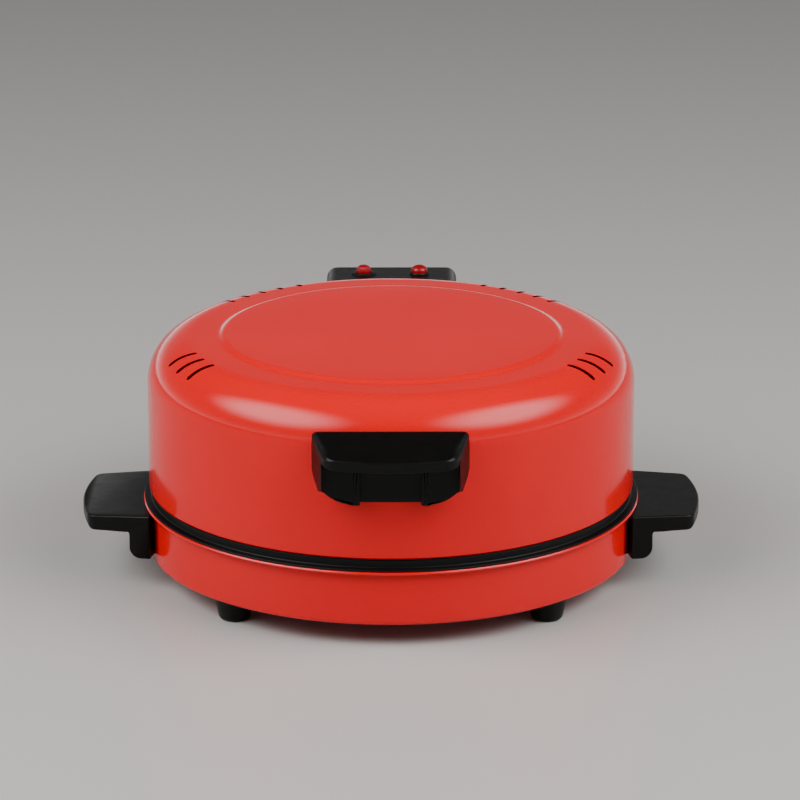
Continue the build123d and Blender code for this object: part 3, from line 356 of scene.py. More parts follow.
def lathedNormals(mesh, loop, limit=0.8, softDeg=40, reach=0.01):
    # gives a cut lathe mesh back the smooth normals of its uncut outline; returns the cut faces,
    # which are those whose direction agrees with the outline's by less than the limit (a cosine)
    count = len(loop)
    segments = [(loop[i], loop[(i + 1) % count]) for i in range(count)]
    flat = []
    for a, b in segments:
        along = b - a
        across = Vector((along.y, -along.x))
        flat.append(across.normalized() if along.length > shortest else Vector((0, 0)))
    atPoint = []
    for i in range(count):
        before, after = flat[i - 1], flat[i]
        soft = before.dot(after) > math.cos(math.radians(softDeg))
        atPoint.append(((before + after).normalized(),) * 2 if soft else (before, after))
    normals = [None] * len(mesh.loops)
    found = {}
    cutFaces = set()
    for face in mesh.polygons:
        for index in face.loop_indices:
            vertex = mesh.loops[index].vertex_index
            place = mesh.vertices[vertex].co
            key = (round(math.hypot(place.x, place.y), 3), round(place.z, 3))
            if key not in found:
                spot = Vector(key)
                best = []
                for i, (a, b) in enumerate(segments):
                    along = b - a
                    if along.length < shortest:
                        continue
                    share = min(1.0, max(0.0, (spot - a).dot(along) / along.length_squared))
                    best.append(((spot - a - along * share).length, i, share))
                near = min(best)[0] + reach
                found[key] = [(i, share) for away, i, share in best if away <= near]
            across = Vector((place.x, place.y)).normalized()
            own = face.normal
            ownFlat = Vector((own.x * across.x + own.y * across.y, own.z))
            chosen, closest = None, limit
            for i, share in found[key]:
                bent = atPoint[i][1].lerp(atPoint[(i + 1) % count][0], share).normalized()
                for sense in (1, -1):
                    match = ownFlat.dot(bent) * sense
                    if match > closest:
                        chosen, closest = bent * sense, match
            if chosen is None:
                normals[index] = own
                cutFaces.add(face.index)
            else:
                normals[index] = Vector((across.x * chosen.x, across.y * chosen.x, chosen.y))
    mesh.normals_split_custom_set(normals)
    return cutFaces


def finishPiece(piece, name, material, body, stands, sharpDeg=None):
    # to metres, named, finished, and fixed to the CAD body that it moves with
    piece.name = name
    piece.data.name = name
    piece.data.transform(Matrix.Scale(0.001, 4))
    piece.data.materials.clear()
    piece.data.materials.append(material)
    if sharpDeg is not None:
        piece.data.shade_smooth()
        piece.data.set_sharp_from_angle(angle=math.radians(sharpDeg))
    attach(piece, body)
    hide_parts(*stands)


# materials; each roughness is given for the glossiest and the dullest patches

# Baked enamel sprayed on pressed steel: deep saturated red under one glossy skin, with the
# faint orange peel that spraying leaves and small changes of gloss where it was wiped
enamel = {
    "red": "#CC000B", "deepRed": "#C5000A", "roughness": (0.12, 0.16), "ior": 1.5, "specular": 0.27,
    "peelMm": 3.0, "peelDepthMm": 0.003, "patchMm": 70.0,
}


def makeEnamel(name="baked_red_enamel", red=enamel["red"], deepRed=enamel["deepRed"]):
    material, tree, place = newMaterial(name)
    patch = addNode(
        tree, "ShaderNodeTexNoise",
        {"Vector": place, "Scale": perMm(enamel["patchMm"]), "Detail": 3.0, "Roughness": 0.5},
    )
    colour = addNode(
        tree, "ShaderNodeMix", colourMix(patch.outputs["Fac"], (deepRed, red)), data_type="RGBA",
    )
    gloss = addNode(tree, "ShaderNodeMapRange", glossRange(patch, enamel["roughness"]))
    peel = raisedGrain(tree, place, enamel["peelMm"], enamel["peelDepthMm"], roughness=0.45)
    return finishMaterial(material, tree, {
        "Base Color": colour.outputs[2], "Roughness": gloss.outputs["Result"], "Normal": peel,
        "IOR": enamel["ior"], "Specular IOR Level": enamel["specular"],
    })


# Phenolic moulding (handles, covers, feet): dense black with a satin skin from the polished
# tool, faint flow mottling from the filler and a very fine grain
phenolic = {
    "blacks": ("#050505", "#0A0A09"), "roughness": (0.29, 0.38), "ior": 1.6, "specular": 0.11,
    "mottleMm": 9.0, "grainMm": 0.5, "grainDepthMm": 0.006,
}


def makePhenolic():
    material, tree, place = newMaterial("moulded_black_phenolic")
    flow = addNode(
        tree, "ShaderNodeTexNoise",
        {"Vector": place, "Scale": perMm(phenolic["mottleMm"]), "Detail": 5.0, "Roughness": 0.6,
         "Distortion": 0.8},
    )
    colour = addNode(
        tree, "ShaderNodeMix", colourMix(flow.outputs["Fac"], phenolic["blacks"]), data_type="RGBA",
    )
    gloss = addNode(tree, "ShaderNodeMapRange", glossRange(flow, phenolic["roughness"]))
    grain = raisedGrain(tree, place, phenolic["grainMm"], phenolic["grainDepthMm"])
    return finishMaterial(material, tree, {
        "Base Color": colour.outputs[2], "Roughness": gloss.outputs["Result"], "Normal": grain,
        "IOR": phenolic["ior"], "Specular IOR Level": phenolic["specular"],
    })


# Non-stick coat on cast aluminium: nearly black with a soft sheen, pinhead specks from
# spraying and the shallow turning marks of the plate under it
castPlate = {
    "coatAndSpeck": ("#090909", "#151413"), "roughness": (0.37, 0.48), "ior": 1.45, "specular": 0.16,
    "speckMm": 0.9, "turningMm": 1.2, "turningDepthMm": 0.01, "grainMm": 0.8, "grainDepthMm": 0.012,
}
# a wave texture multiplies its scale by this, so the marks lie 2 pi times turningMm apart, coarser
# than a lathe leaves them, so that they show
wavePhase = 20


def makeCastPlate():
    material, tree, place = newMaterial("nonstick_coated_cast_aluminium")
    specks = addNode(
        tree, "ShaderNodeTexVoronoi",
        {"Vector": place, "Scale": perMm(castPlate["speckMm"])}, feature="F1",
    )
    speckMask = addNode(
        tree, "ShaderNodeMapRange",
        {"Value": specks.outputs["Distance"], "From Min": 0.12, "From Max": 0.3,
         "To Min": 0.7, "To Max": 0.0},
    )
    colour = addNode(
        tree, "ShaderNodeMix", colourMix(speckMask.outputs["Result"], castPlate["coatAndSpeck"]),
        data_type="RGBA",
    )
    rings = addNode(
        tree, "ShaderNodeTexWave",
        {"Vector": place, "Scale": perMm(castPlate["turningMm"]) / wavePhase, "Distortion": 0.4,
         "Detail": 1.0},
        wave_type="RINGS", rings_direction="Z",
    )
    grain = addNode(
        tree, "ShaderNodeTexNoise",
        {"Vector": place, "Scale": perMm(castPlate["grainMm"]), "Detail": 3.0, "Roughness": 0.6},
    )
    turned = addNode(
        tree, "ShaderNodeBump",
        {"Height": rings.outputs["Fac"], "Strength": 1.0, "Distance": castPlate["turningDepthMm"] / 1000},
    )
    bump = addNode(
        tree, "ShaderNodeBump",
        {"Height": grain.outputs["Fac"], "Strength": 1.0, "Distance": castPlate["grainDepthMm"] / 1000,
         "Normal": turned.outputs["Normal"]},
    )
    gloss = addNode(tree, "ShaderNodeMapRange", glossRange(grain, castPlate["roughness"]))
    return finishMaterial(material, tree, {
        "Base Color": colour.outputs[2], "Roughness": gloss.outputs["Result"],
        "Normal": bump.outputs["Normal"], "IOR": castPlate["ior"],
        "Specular IOR Level": castPlate["specular"],
    })


# Metals: aluminised sheet, zinc plate and the oxidised heater sheath differ only in values,
# so one function builds the three with their own colour, patches and marks
metals = {
    # rolled steel dipped in aluminium: dull silver with cloudy spangle and rolling marks
    "aluminised_sheet_steel": {
        "light": "#C6C5C1", "dark": "#9E9D99", "roughness": (0.27, 0.41), "patchMm": 14.0, "markMm": 0.6,
        "markDepthMm": 0.004, "stretch": 12.0,
    },
    # bright zinc on pressed steel: cool grey with small cloudy patches
    "zinc_plated_steel": {
        "light": "#C3C5C7", "dark": "#8F9294", "roughness": (0.28, 0.42), "patchMm": 3.5, "markMm": 0.35,
        "markDepthMm": 0.004, "stretch": 4.0,
    },
    # nickel alloy tube after firing: brown-grey oxide with paler worn patches
    "oxidised_heater_sheath": {
        "light": "#6A625A", "dark": "#3B3733", "roughness": (0.46, 0.6), "patchMm": 18.0, "markMm": 0.7,
        "markDepthMm": 0.01, "stretch": 1.0,
    },
}


def makeMetal(name):
    values = metals[name]
    material, tree, place = newMaterial(name)
    patch = addNode(
        tree, "ShaderNodeTexNoise",
        {"Vector": place, "Scale": perMm(values["patchMm"]), "Detail": 4.0, "Roughness": 0.65,
         "Distortion": 0.5},
    )
    colour = addNode(
        tree, "ShaderNodeValToRGB", {"Fac": patch.outputs["Fac"]},
        stops=[(0.3, toLinear(values["dark"])), (0.68, toLinear(values["light"]))],
    )
    drawn = addNode(
        tree, "ShaderNodeMapping", {"Vector": place, "Scale": (1.0 / values["stretch"], 1.0, 1.0)},
    )
    marks = raisedGrain(tree, drawn.outputs["Vector"], values["markMm"], values["markDepthMm"], 3.0, 0.55)
    gloss = addNode(tree, "ShaderNodeMapRange", glossRange(patch, values["roughness"]))
    return finishMaterial(material, tree, {
        "Base Color": colour.outputs["Color"], "Metallic": 1.0, "Roughness": gloss.outputs["Result"],
        "Normal": marks,
    })


# Polycarbonate lamp lens, injection moulded and clear red, with slight flow streaks
lens = {
    "reds": ("#86020E", "#B00818"), "roughness": (0.28, 0.33), "ior": 1.585, "specular": 0.1,
    "clear": 0.35, "streakMm": 5.0,
}


def makeLens():
    material, tree, place = newMaterial("clear_red_polycarbonate")
    streak = addNode(
        tree, "ShaderNodeTexNoise",
        {"Vector": place, "Scale": perMm(lens["streakMm"]), "Detail": 2.0, "Roughness": 0.5},
    )
    colour = addNode(
        tree, "ShaderNodeMix", colourMix(streak.outputs["Fac"], lens["reds"]), data_type="RGBA",
    )
    gloss = addNode(tree, "ShaderNodeMapRange", glossRange(streak, lens["roughness"], 0.0, 1.0))
    return finishMaterial(material, tree, {
        "Base Color": colour.outputs[2], "Roughness": gloss.outputs["Result"], "IOR": lens["ior"],
        "Specular IOR Level": lens["specular"], "Transmission Weight": lens["clear"],
    })


# Small mouldings: satin nylon for the lamp rings, pale filled ceramic-like phenolic for the
# electrical parts and dull rubber for the gland, each with its own grain
mouldings = {
    "moulded_black_nylon": {
        "light": "#101011", "dark": "#080809", "roughness": (0.38, 0.48), "patchMm": 6.0, "grainMm": 0.6,
        "grainDepthMm": 0.003, "ior": 1.3,
    },
    "pale_filled_insulator": {
        "light": "#D8D2C4", "dark": "#C4BCAA", "roughness": (0.56, 0.66), "patchMm": 4.0, "grainMm": 0.4,
        "grainDepthMm": 0.02, "ior": 1.5,
    },
    "moulded_gland_rubber": {
        "light": "#242424", "dark": "#171717", "roughness": (0.58, 0.68), "patchMm": 5.0, "grainMm": 0.4,
        "grainDepthMm": 0.015, "ior": 1.52,
    },
}


def makeMoulding(name):
    values = mouldings[name]
    material, tree, place = newMaterial(name)
    patch = addNode(
        tree, "ShaderNodeTexNoise",
        {"Vector": place, "Scale": perMm(values["patchMm"]), "Detail": 4.0, "Roughness": 0.6},
    )
    colour = addNode(
        tree, "ShaderNodeMix", colourMix(patch.outputs["Fac"], (values["dark"], values["light"])),
        data_type="RGBA",
    )
    grain = raisedGrain(tree, place, values["grainMm"], values["grainDepthMm"])
    gloss = addNode(tree, "ShaderNodeMapRange", glossRange(patch, values["roughness"]))
    return finishMaterial(material, tree, {
        "Base Color": colour.outputs[2], "Roughness": gloss.outputs["Result"], "Normal": grain,
        "IOR": values["ior"],
    })


enamelRed = makeEnamel()
# painted shade: the walls of the punched slots get a nearly black enamel, so the slots read as dark lines
slotShadeEnamel = makeEnamel("red_enamel_painted_dark_as_slot_shade", "#2E0302", "#1C0201")
phenolicBlack = makePhenolic()
castCoat = makeCastPlate()
aluminisedSheet = makeMetal("aluminised_sheet_steel")
zincPlate = makeMetal("zinc_plated_steel")
heaterSheath = makeMetal("oxidised_heater_sheath")
lensRed = makeLens()
nylonBlack = makeMoulding("moulded_black_nylon")
paleInsulator = makeMoulding("pale_filled_insulator")
glandRubber = makeMoulding("moulded_gland_rubber")
slotFinish = {
    "red_enamel_steel": enamelRed, "black_phenolic": phenolicBlack, "black_foot_moulding": phenolicBlack,
    "cast_plate_dark_coat": castCoat, "aluminised_steel": aluminisedSheet, "plated_steel": zincPlate,
    "heater_sheath": heaterSheath, "red_lamp_lens": lensRed, "black_lamp_moulding": nylonBlack,
    "pale_insulator": paleInsulator, "black_gland_rubber": glandRubber,
}
slotOf = {entry["node"]: entry["material_slot"] for entry in frame["record"]["subparts"]}
for name, node in nodes.items():
    for k in range(len(node.data.materials)):
        node.data.materials[k] = slotFinish[slotOf[name]]
print("materials made:", len(slotFinish))


# camera, floor and light, in metres

camera = {
    "place": (0.0072, -3.3556, 1.1836), "tiltDeg": 72.71, "lens": 196.84, "sensor": 36.0,
    "clip": (0.05, 60.0),
}
view = bpy.data.cameras.new("camera")
view.lens = camera["lens"]
view.sensor_width = camera["sensor"]
view.clip_start, view.clip_end = camera["clip"]
eye = bpy.data.objects.new("camera", view)
eye.location = camera["place"]
eye.rotation_euler = (math.radians(camera["tiltDeg"]), 0, 0)
bpy.context.scene.collection.objects.link(eye)
bpy.context.scene.camera = eye

floorValues = {
    "colour": "#ABA9A6", "roughness": (0.3, 0.4), "grainMm": 4.0, "halfSize": 9.0, "squares": 8,
    "below": 0.0004,
}
floorMade = bmesh.new()
bmesh.ops.create_grid(
    floorMade, x_segments=floorValues["squares"], y_segments=floorValues["squares"],
    size=floorValues["halfSize"],
)
floorPiece = toObject(floorMade, "floor")
floorPiece.location.z = -floorValues["below"]
floorMaterial, floorTree, floorPlace = newMaterial("pale_stone_floor")
floorGrain = addNode(
    floorTree, "ShaderNodeTexNoise",
    {"Vector": floorPlace, "Scale": perMm(floorValues["grainMm"]), "Detail": 3.0},
)
floorGloss = addNode(
    floorTree, "ShaderNodeMapRange", glossRange(floorGrain, floorValues["roughness"], 0.0, 1.0),
)
floorPiece.data.materials.append(finishMaterial(floorMaterial, floorTree, {
    "Base Color": toLinear(floorValues["colour"]), "Roughness": floorGloss.outputs["Result"],
}))

softboxes = {
    # name: azimuth from the front, elevation, distance, width, height, watts
    "softbox_left": (-64, 42, 2.4, 3.5, 2.4, 262.0),
    "softbox_right": (64, 42, 2.4, 3.5, 2.4, 262.0),
}
cloth = {"centre": (0.5, 0.5, 0.0), "bright": 0.12, "dark": 0.5}  # its glow fades between these
aim = Vector((0, 0, 0.1))
for name, (azimuth, elevation, distance, width, height, watts) in softboxes.items():
    light = bpy.data.lights.new(name, "AREA")
    light.shape = "RECTANGLE"
    light.size, light.size_y = width, height
    light.energy = watts
    light.use_nodes = True  # the cloth is brightest in the middle and fades to its edges
    weave = light.node_tree
    weave.nodes.clear()
    spot = addNode(weave, "ShaderNodeNewGeometry").outputs["Parametric"]
    away = addNode(weave, "ShaderNodeVectorMath", {0: spot, 1: cloth["centre"]}, operation="DISTANCE")
    fade = addNode(
        weave, "ShaderNodeMapRange",
        {"Value": away.outputs["Value"], "From Min": cloth["bright"], "From Max": cloth["dark"],
         "To Min": 1.0, "To Max": 0.0},
        interpolation_type="SMOOTHSTEP",
    )
    glow = addNode(weave, "ShaderNodeEmission", {"Strength": fade.outputs["Result"]})
    addNode(weave, "ShaderNodeOutputLight", {"Surface": glow.outputs["Emission"]})
    softbox = bpy.data.objects.new(name, light)
    around, up = math.radians(azimuth), math.radians(elevation)
    softbox.location = aim + distance * Vector((
        math.sin(around) * math.cos(up), -math.cos(around) * math.cos(up), math.sin(up),
    ))
    softbox.rotation_euler = (softbox.location - aim).to_track_quat("Z", "Y").to_euler()
    bpy.context.scene.collection.objects.link(softbox)

# the studio is brightest along the horizon and darker overhead: height and brightness
studioGlow = ((0.0, 2.2), (0.06, 0.95), (0.16, 0.35), (0.3, 0.17), (0.5, 0.06), (1.0, 0.05))
world = bpy.data.worlds.new("studio")
world.use_nodes = True
room = world.node_tree
room.nodes.clear()
direction = addNode(room, "ShaderNodeTexCoord").outputs["Generated"]
height = addNode(room, "ShaderNodeSeparateXYZ", {"Vector": direction}).outputs["Z"]
wall = addNode(
    room, "ShaderNodeValToRGB", {"Fac": height},
    stops=[(place, (glow, glow, glow, 1)) for place, glow in studioGlow],
)
sky = addNode(room, "ShaderNodeBackground", {"Color": wall.outputs["Color"], "Strength": 1.0})
addNode(room, "ShaderNodeOutputWorld", {"Surface": sky.outputs["Background"]})
bpy.context.scene.world = world
print("studio ready")


# lid shell: pressed steel with a raised disc, a wide shoulder, slots and a turned-in hem

lid = {
    "radius": 195.0, "sheet": 1.0, "bottom": 71.3, "flat": 194.5, "raised": 197.0, "shoulder": 36.0,
    "stepIn": 134.2, "stepOut": 137.8, "stepRound": 7.0, "hemBend": 2.2, "hemEdge": 190.0,
    "topRings": (60, 110), "wallRings": (130, 100),
    "ventWidth": 4.0, "ventLength": 22.5, "ventCut": (150, 200),
    # slots on each side: count, first azimuth, pitch, tilt, circle
    "frontVents": (3, 18.5, 6.2, 12.0, 173.0), "rearVents": (5, 36.2, 6.4, 0.0, 169.8),
}
lidPath = roundedPath(
    [(0, lid["raised"])] + [(ring, lid["raised"]) for ring in lid["topRings"]]
    + [(lid["stepIn"], lid["raised"], lid["stepRound"]), (lid["stepOut"], lid["flat"], lid["stepRound"]),
       (lid["radius"], lid["flat"], lid["shoulder"])]
    + [(lid["radius"], ring) for ring in lid["wallRings"]]
    + [(lid["radius"], lid["bottom"], lid["hemBend"]), (lid["hemEdge"], lid["bottom"])],
    stepDeg=4.0,
)
lidLoop = sheetLoop(lidPath[::-1], lid["sheet"], roundStart=True, roundEnd=False)
lidShell = toObject(lathe(lidLoop))


def slotCutter(length, width, circle, azimuth, tilt, low, high, steps=8):
    # a long round-ended cutter that stands on a circle about Z
    half = (length - width) / 2
    turn = [math.pi * k / steps - math.pi / 2 for k in range(steps + 1)]
    outline = [Vector((half + width / 2 * math.cos(t), width / 2 * math.sin(t))) for t in turn]
    outline += [Vector((-half - width / 2 * math.cos(t), -width / 2 * math.sin(t))) for t in turn]
    cutter = prism(outline, "XY", low, high)
    middle = math.radians(azimuth)
    place = Matrix.Translation((circle * math.cos(middle), circle * math.sin(middle), 0))
    cutter.transform(place @ Matrix.Rotation(math.radians(azimuth + tilt), 4, "Z"))
    return cutter


# where a heater's two legs pass to the back, through the shells and the liner
legs = {
    "x": 12.0, "hole": 4.05, "cut": 14, "lidHigh": 150.0, "baseHigh": 44.0, "atShell": 185, "atLiner": 178,
}


def legHoles(start, height):
    return merged([
        rod((way * legs["x"], start, height), (0, 1, 0), legs["hole"], legs["cut"]) for way in (-1, 1)
    ])


ventCutters = []
for front, (count, first, pitch, tilt, circle) in ((True, lid["frontVents"]), (False, lid["rearVents"])):
    for number in range(count):
        for right in (True, False):
            away = first + pitch * number
            azimuth = (-away if front else away) if right else 180 + (away if front else -away)
            lean = tilt if right else -tilt
            ventCutters.append(
                slotCutter(lid["ventLength"], lid["ventWidth"], circle, azimuth, lean, *lid["ventCut"])
            )
combine(lidShell, [merged(ventCutters), legHoles(legs["atShell"], legs["lidHigh"])], "DIFFERENCE")
lidShell.data.shade_smooth()
slotShadeFaces = lathedNormals(lidShell.data, lidLoop)
finishPiece(lidShell, "lid_skin", enamelRed, "lid", ["lid_shell"])
# painted shade: the cut walls of the slots and the leg holes take the nearly black enamel
lidShell.data.materials.append(slotShadeEnamel)
for k in slotShadeFaces:
    lidShell.data.polygons[k].material_index = 1
print("lid shell made:", len(lidShell.data.polygons), "faces")


# base shell: a pressed bowl with its lip rolled out

base = {
    "radius": 195.0, "sheet": 1.0, "bottom": 17.6, "corner": 3.2, "floorRings": (70, 140), "wallRing": 40,
    "lipEdge": 198.1, "lipUnder": 61.1, "lipLift": 0.4, "lipBend": 3.0, "bead": 1.4, "beadFlat": (0.15, 0.85),
    "ventCount": 8, "ventCircle": 72.0, "ventLength": 28.0, "ventWidth": 3.0, "ventCut": (10, 25),
}
lipLine = base["lipUnder"] + base["lipLift"]
basePath = roundedPath(
    [(0, base["bottom"])] + [(ring, base["bottom"]) for ring in base["floorRings"]]
    + [(base["radius"], base["bottom"], base["corner"]), (base["radius"], base["wallRing"]),
       (base["radius"], lipLine, base["lipBend"]), (base["lipEdge"], lipLine)],
    stepDeg=6.0,
)
baseLoop = sheetLoop(basePath, base["sheet"], roundStart=False, roundEnd=False)
beadAt = baseLoop.index(basePath[-1]) + 1
beadMiddle = Vector((base["lipEdge"], base["lipUnder"]))
beadTurns = (-150, -135, -120, -105, -90, -75, -60, -45, -30, -16, -2, 12, 60, 75, 90)
bead = [beadMiddle + base["bead"] * Vector((math.cos(math.radians(t)), math.sin(math.radians(t))))
        for t in beadTurns]
# the roller leaves a narrow flat on the bead, between 12 and 60 degrees, which catches the light
flatAt = beadTurns.index(60)
bead[flatAt:flatAt] = [bead[flatAt - 1].lerp(bead[flatAt], share) for share in base["beadFlat"]]
baseLoop[beadAt:beadAt] = bead  # the free edge of the lip is curled to a small bead
baseShell = toObject(lathe(baseLoop))
floorVents = [
    slotCutter(base["ventLength"], base["ventWidth"], base["ventCircle"], k * 360 / base["ventCount"], 0,
               *base["ventCut"])
    for k in range(base["ventCount"])
]
combine(baseShell, [merged(floorVents), legHoles(legs["atShell"], legs["baseHigh"])], "DIFFERENCE")
baseShell.data.shade_smooth()
lathedNormals(baseShell.data, baseLoop)
finishPiece(baseShell, "base_skin", enamelRed, "base", ["base_shell"])
print("base shell made:", len(baseShell.data.polygons), "faces")


# baking plate: cast pan with an upright rim and a flange that rests on the lip

pan = {
    "radius": 193.2, "rimTop": 70.7, "rimInside": 190.2, "floor": 61.0, "under": 57.0, "rimRound": 1.0,
    "flange": 198.9, "flangeUnder": 62.6, "flangeTop": 64.2, "flangeRound": 0.7, "root": 1.2,
    "inside": 3.5, "heel": 1.5, "ring": 100,
    "bossOffset": 95.46, "bossRadius": 7.0, "bossBottom": 32.8, "bossInto": 1,
}
panLoop = roundedPath([
    (0, pan["under"]), (pan["ring"], pan["under"]), (pan["radius"], pan["under"], pan["heel"]),
    (pan["radius"], pan["flangeUnder"]), (pan["flange"], pan["flangeUnder"], pan["flangeRound"]),
    (pan["flange"], pan["flangeTop"], pan["flangeRound"]), (pan["radius"], pan["flangeTop"], pan["root"]),
    (pan["radius"], pan["rimTop"], pan["rimRound"]), (pan["rimInside"], pan["rimTop"], pan["rimRound"]),
    (pan["rimInside"], pan["floor"], pan["inside"]), (pan["ring"], pan["floor"]), (0, pan["floor"]),
], stepDeg=10.0)
bossLength = pan["under"] - pan["bossBottom"] + pan["bossInto"]
panBosses = [
    rod((x, y, pan["bossBottom"]), (0, 0, 1), pan["bossRadius"], bossLength)
    for x in (-pan["bossOffset"], pan["bossOffset"]) for y in (-pan["bossOffset"], pan["bossOffset"])
]
panPiece = toObject(lathe(panLoop))
combine(panPiece, [merged(panBosses)], "UNION")
finishPiece(panPiece, "baking_pan", castCoat, "base", ["baking_plate"], sharpDeg=40)
print("baking plate made")


# liner: bright inner dome with a small flange

liner = {
    "flange": 193.5, "foot": 72.3, "radius": 187.0, "bend": 2.0, "round": 20.0, "top": 172.0, "sheet": 0.6,
    "wallRing": 110, "topRing": 100,
}
linerPath = roundedPath([
    (liner["flange"], liner["foot"]), (liner["radius"], liner["foot"], liner["bend"]),
    (liner["radius"], liner["wallRing"]), (liner["radius"], liner["top"], liner["round"]),
    (liner["topRing"], liner["top"]), (0, liner["top"]),
], stepDeg=5.0)
linerLoop = sheetLoop(linerPath[::-1], -liner["sheet"], roundStart=False, roundEnd=True)
linerPiece = toObject(lathe(linerLoop))
combine(linerPiece, [legHoles(legs["atLiner"], legs["lidHigh"])], "DIFFERENCE")
linerPiece.data.shade_smooth()
lathedNormals(linerPiece.data, linerLoop)
finishPiece(linerPiece, "lid_inner_dome", aluminisedSheet, "lid", ["lid_liner"])
print("liner made")


# what the three handles share: the step of their outlines and the round walls that they sit on
seats = {"step": 1.6, "wall": 195.1, "nearWall": 195.9, "lipSide": 199.6, "lipFrom": 58.4}


def wallCutter(radius, low, length):  # fine enough to follow the shells
    return rod((0, 0, low), (0, 0, 1), radius, length, segments=720)


# lid handle: block on the lid, sloping finger shelf, hollow with two ribs

grip = {
    "half": 60.0, "low": 118.5, "high": 175.0, "lowCorner": 33.2, "shelfBack": 197.0, "shelfFront": 235.0,
    "rootFrom": 180, "rootTo": 195, "frontHalf": 50.4, "frontBow": 4.6, "bowMarks": range(-32, 33, 4),
    "planCorner": 13.0, "drop": 13.0, "thick": 8.2, "blockFront": 203.0, "cheekFoot": 203.3,
    "cheekFootHigh": 129.4, "cheekFront": 222.0, "cheekLow": 135.7, "cheekBend": 2.5, "recessHalf": 51.4,
    "ribIn": 24.0, "ribOut": 28.0, "ribProud": 2.0, "pocket": 6.6,
    "seatHigh": 165.0, "seatTop": 190, "seatFront": 195.8,
    # rims of the shelf, and the distance over which the side ones soften
    "edge": 0.7, "frontEdge": 1.1, "sideEdge": 8.0, "rootEdge": 2.6, "lowEdge": 0.5, "cornerBlend": 2.6,
    "softFrom": 6, "softOver": 24,
    # how far cutters go past what they cut, or stay short of it
    "far": 300.0, "wide": 90, "past": (-260, -150), "spare": 5, "shelfDepth": 10, "over": 1, "hair": 0.01,
    "ribPlay": 0.05, "pocketUnder": 8, "pocketShort": 0.4, "ribShort": 0.2, "ribInto": 0.5,
}
slope = grip["drop"] / (grip["shelfFront"] - grip["shelfBack"])
shelfNose = grip["high"] - grip["drop"]
underNose = shelfNose - grip["thick"]
underBack = grip["high"] - grip["thick"] - (grip["blockFront"] - grip["shelfBack"]) * slope
bow = grip["frontBow"] / grip["frontHalf"] ** 2
cornerLine = grip["frontBow"] - grip["shelfFront"]
gripPlan = evenly(roundedPath(
    [(-grip["half"], -grip["rootFrom"]), (-grip["half"], -grip["rootTo"])]
    + [(-grip["frontHalf"], cornerLine, grip["planCorner"])]
    + [(x, bow * x * x - grip["shelfFront"]) for x in grip["bowMarks"]]
    + [(grip["frontHalf"], cornerLine, grip["planCorner"])]
    + [(grip["half"], -grip["rootTo"]), (grip["half"], -grip["rootFrom"])],
    stepDeg=5.0,
), seats["step"])


def lowRim(inward, place):
    return grip["lowEdge"]


def gripRim(inward, place):  # crisp along the front, softer along the sides towards the front
    share = min(1.0, max(0.0, (-grip["shelfBack"] + grip["softFrom"] - place.y) / grip["softOver"]))
    edge = grip["rootEdge"] + (grip["sideEdge"] - grip["rootEdge"]) * share
    return grip["frontEdge"] + (edge - grip["frontEdge"]) * abs(inward.x) ** grip["cornerBlend"]


gripMade = slab(gripPlan, grip["low"] - grip["spare"], grip["high"], lowRim, gripRim)
bmesh.ops.bisect_plane(
    gripMade, geom=gripMade.verts[:] + gripMade.edges[:] + gripMade.faces[:],
    plane_co=(0, -grip["shelfBack"], 0), plane_no=(0, 1, 0),
)
for vertex in gripMade.verts:  # the shelf slopes down to the front
    if vertex.co.z > grip["high"] - grip["shelfDepth"]:
        vertex.co.z -= max(0.0, -grip["shelfBack"] - vertex.co.y) * slope
faceTop, faceSide = grip["high"] + grip["over"], grip["half"] + grip["over"]
gripFace = roundedPath([
    (-faceSide, faceTop), (-grip["half"] - grip["hair"], grip["low"], grip["lowCorner"]),
    (grip["half"] + grip["hair"], grip["low"], grip["lowCorner"]), (faceSide, faceTop),
], stepDeg=5.0)
lidGrip = toObject(gripMade)
combine(lidGrip, [prism(gripFace, "XZ", *grip["past"])], "INTERSECT")
belowShelf = [(-grip["blockFront"], 0), (-grip["blockFront"], underBack), (-grip["shelfFront"], underNose),
              (-grip["far"], underNose), (-grip["far"], 0)]
cheekTop = underNose + (grip["shelfFront"] - grip["cheekFront"]) * slope
belowCheek = roundedPath([
    (-grip["cheekFoot"], 0), (-grip["cheekFoot"], grip["cheekFootHigh"]),
    (-grip["cheekFront"], grip["cheekLow"], grip["cheekBend"]), (-grip["cheekFront"], cheekTop),
    (-grip["shelfFront"], underNose), (-grip["far"], underNose), (-grip["far"], 0),
], stepDeg=6.0)
pocketHalf, pocketBack = grip["ribIn"] + grip["ribPlay"], -grip["blockFront"] + grip["pocket"]
pocketFront = -grip["blockFront"] - grip["spare"]
pocketBox = [(-pocketHalf, pocketFront), (pocketHalf, pocketFront),
             (pocketHalf, pocketBack), (-pocketHalf, pocketBack)]
combine(lidGrip, [
    prism(belowShelf, "YZ", -grip["recessHalf"], grip["recessHalf"]),
    prism(belowCheek, "YZ", -grip["wide"], grip["wide"]),
    prism(pocketBox, "XY", grip["low"] - grip["pocketUnder"], underBack - grip["pocketShort"]),
], "DIFFERENCE")
ribFront, ribBack = -grip["blockFront"] - grip["ribProud"], -grip["blockFront"] + grip["over"]
for way in (-1, 1):
    ribBox = [(way * grip["ribIn"], ribFront), (way * grip["ribOut"], ribFront),
              (way * grip["ribOut"], ribBack), (way * grip["ribIn"], ribBack)]
    rib = prism(ribBox, "XY", grip["low"] + grip["ribShort"], underBack + grip["ribInto"])
    combine(lidGrip, [rib], "UNION")
seatBox = [(-grip["wide"], -grip["seatFront"]), (grip["wide"], -grip["seatFront"]),
           (grip["wide"], grip["past"][1]), (-grip["wide"], grip["past"][1])]
combine(lidGrip, [
    prism(seatBox, "XY", grip["seatHigh"], grip["seatTop"]), wallCutter(seats["wall"], low=50, length=140),
], "DIFFERENCE")


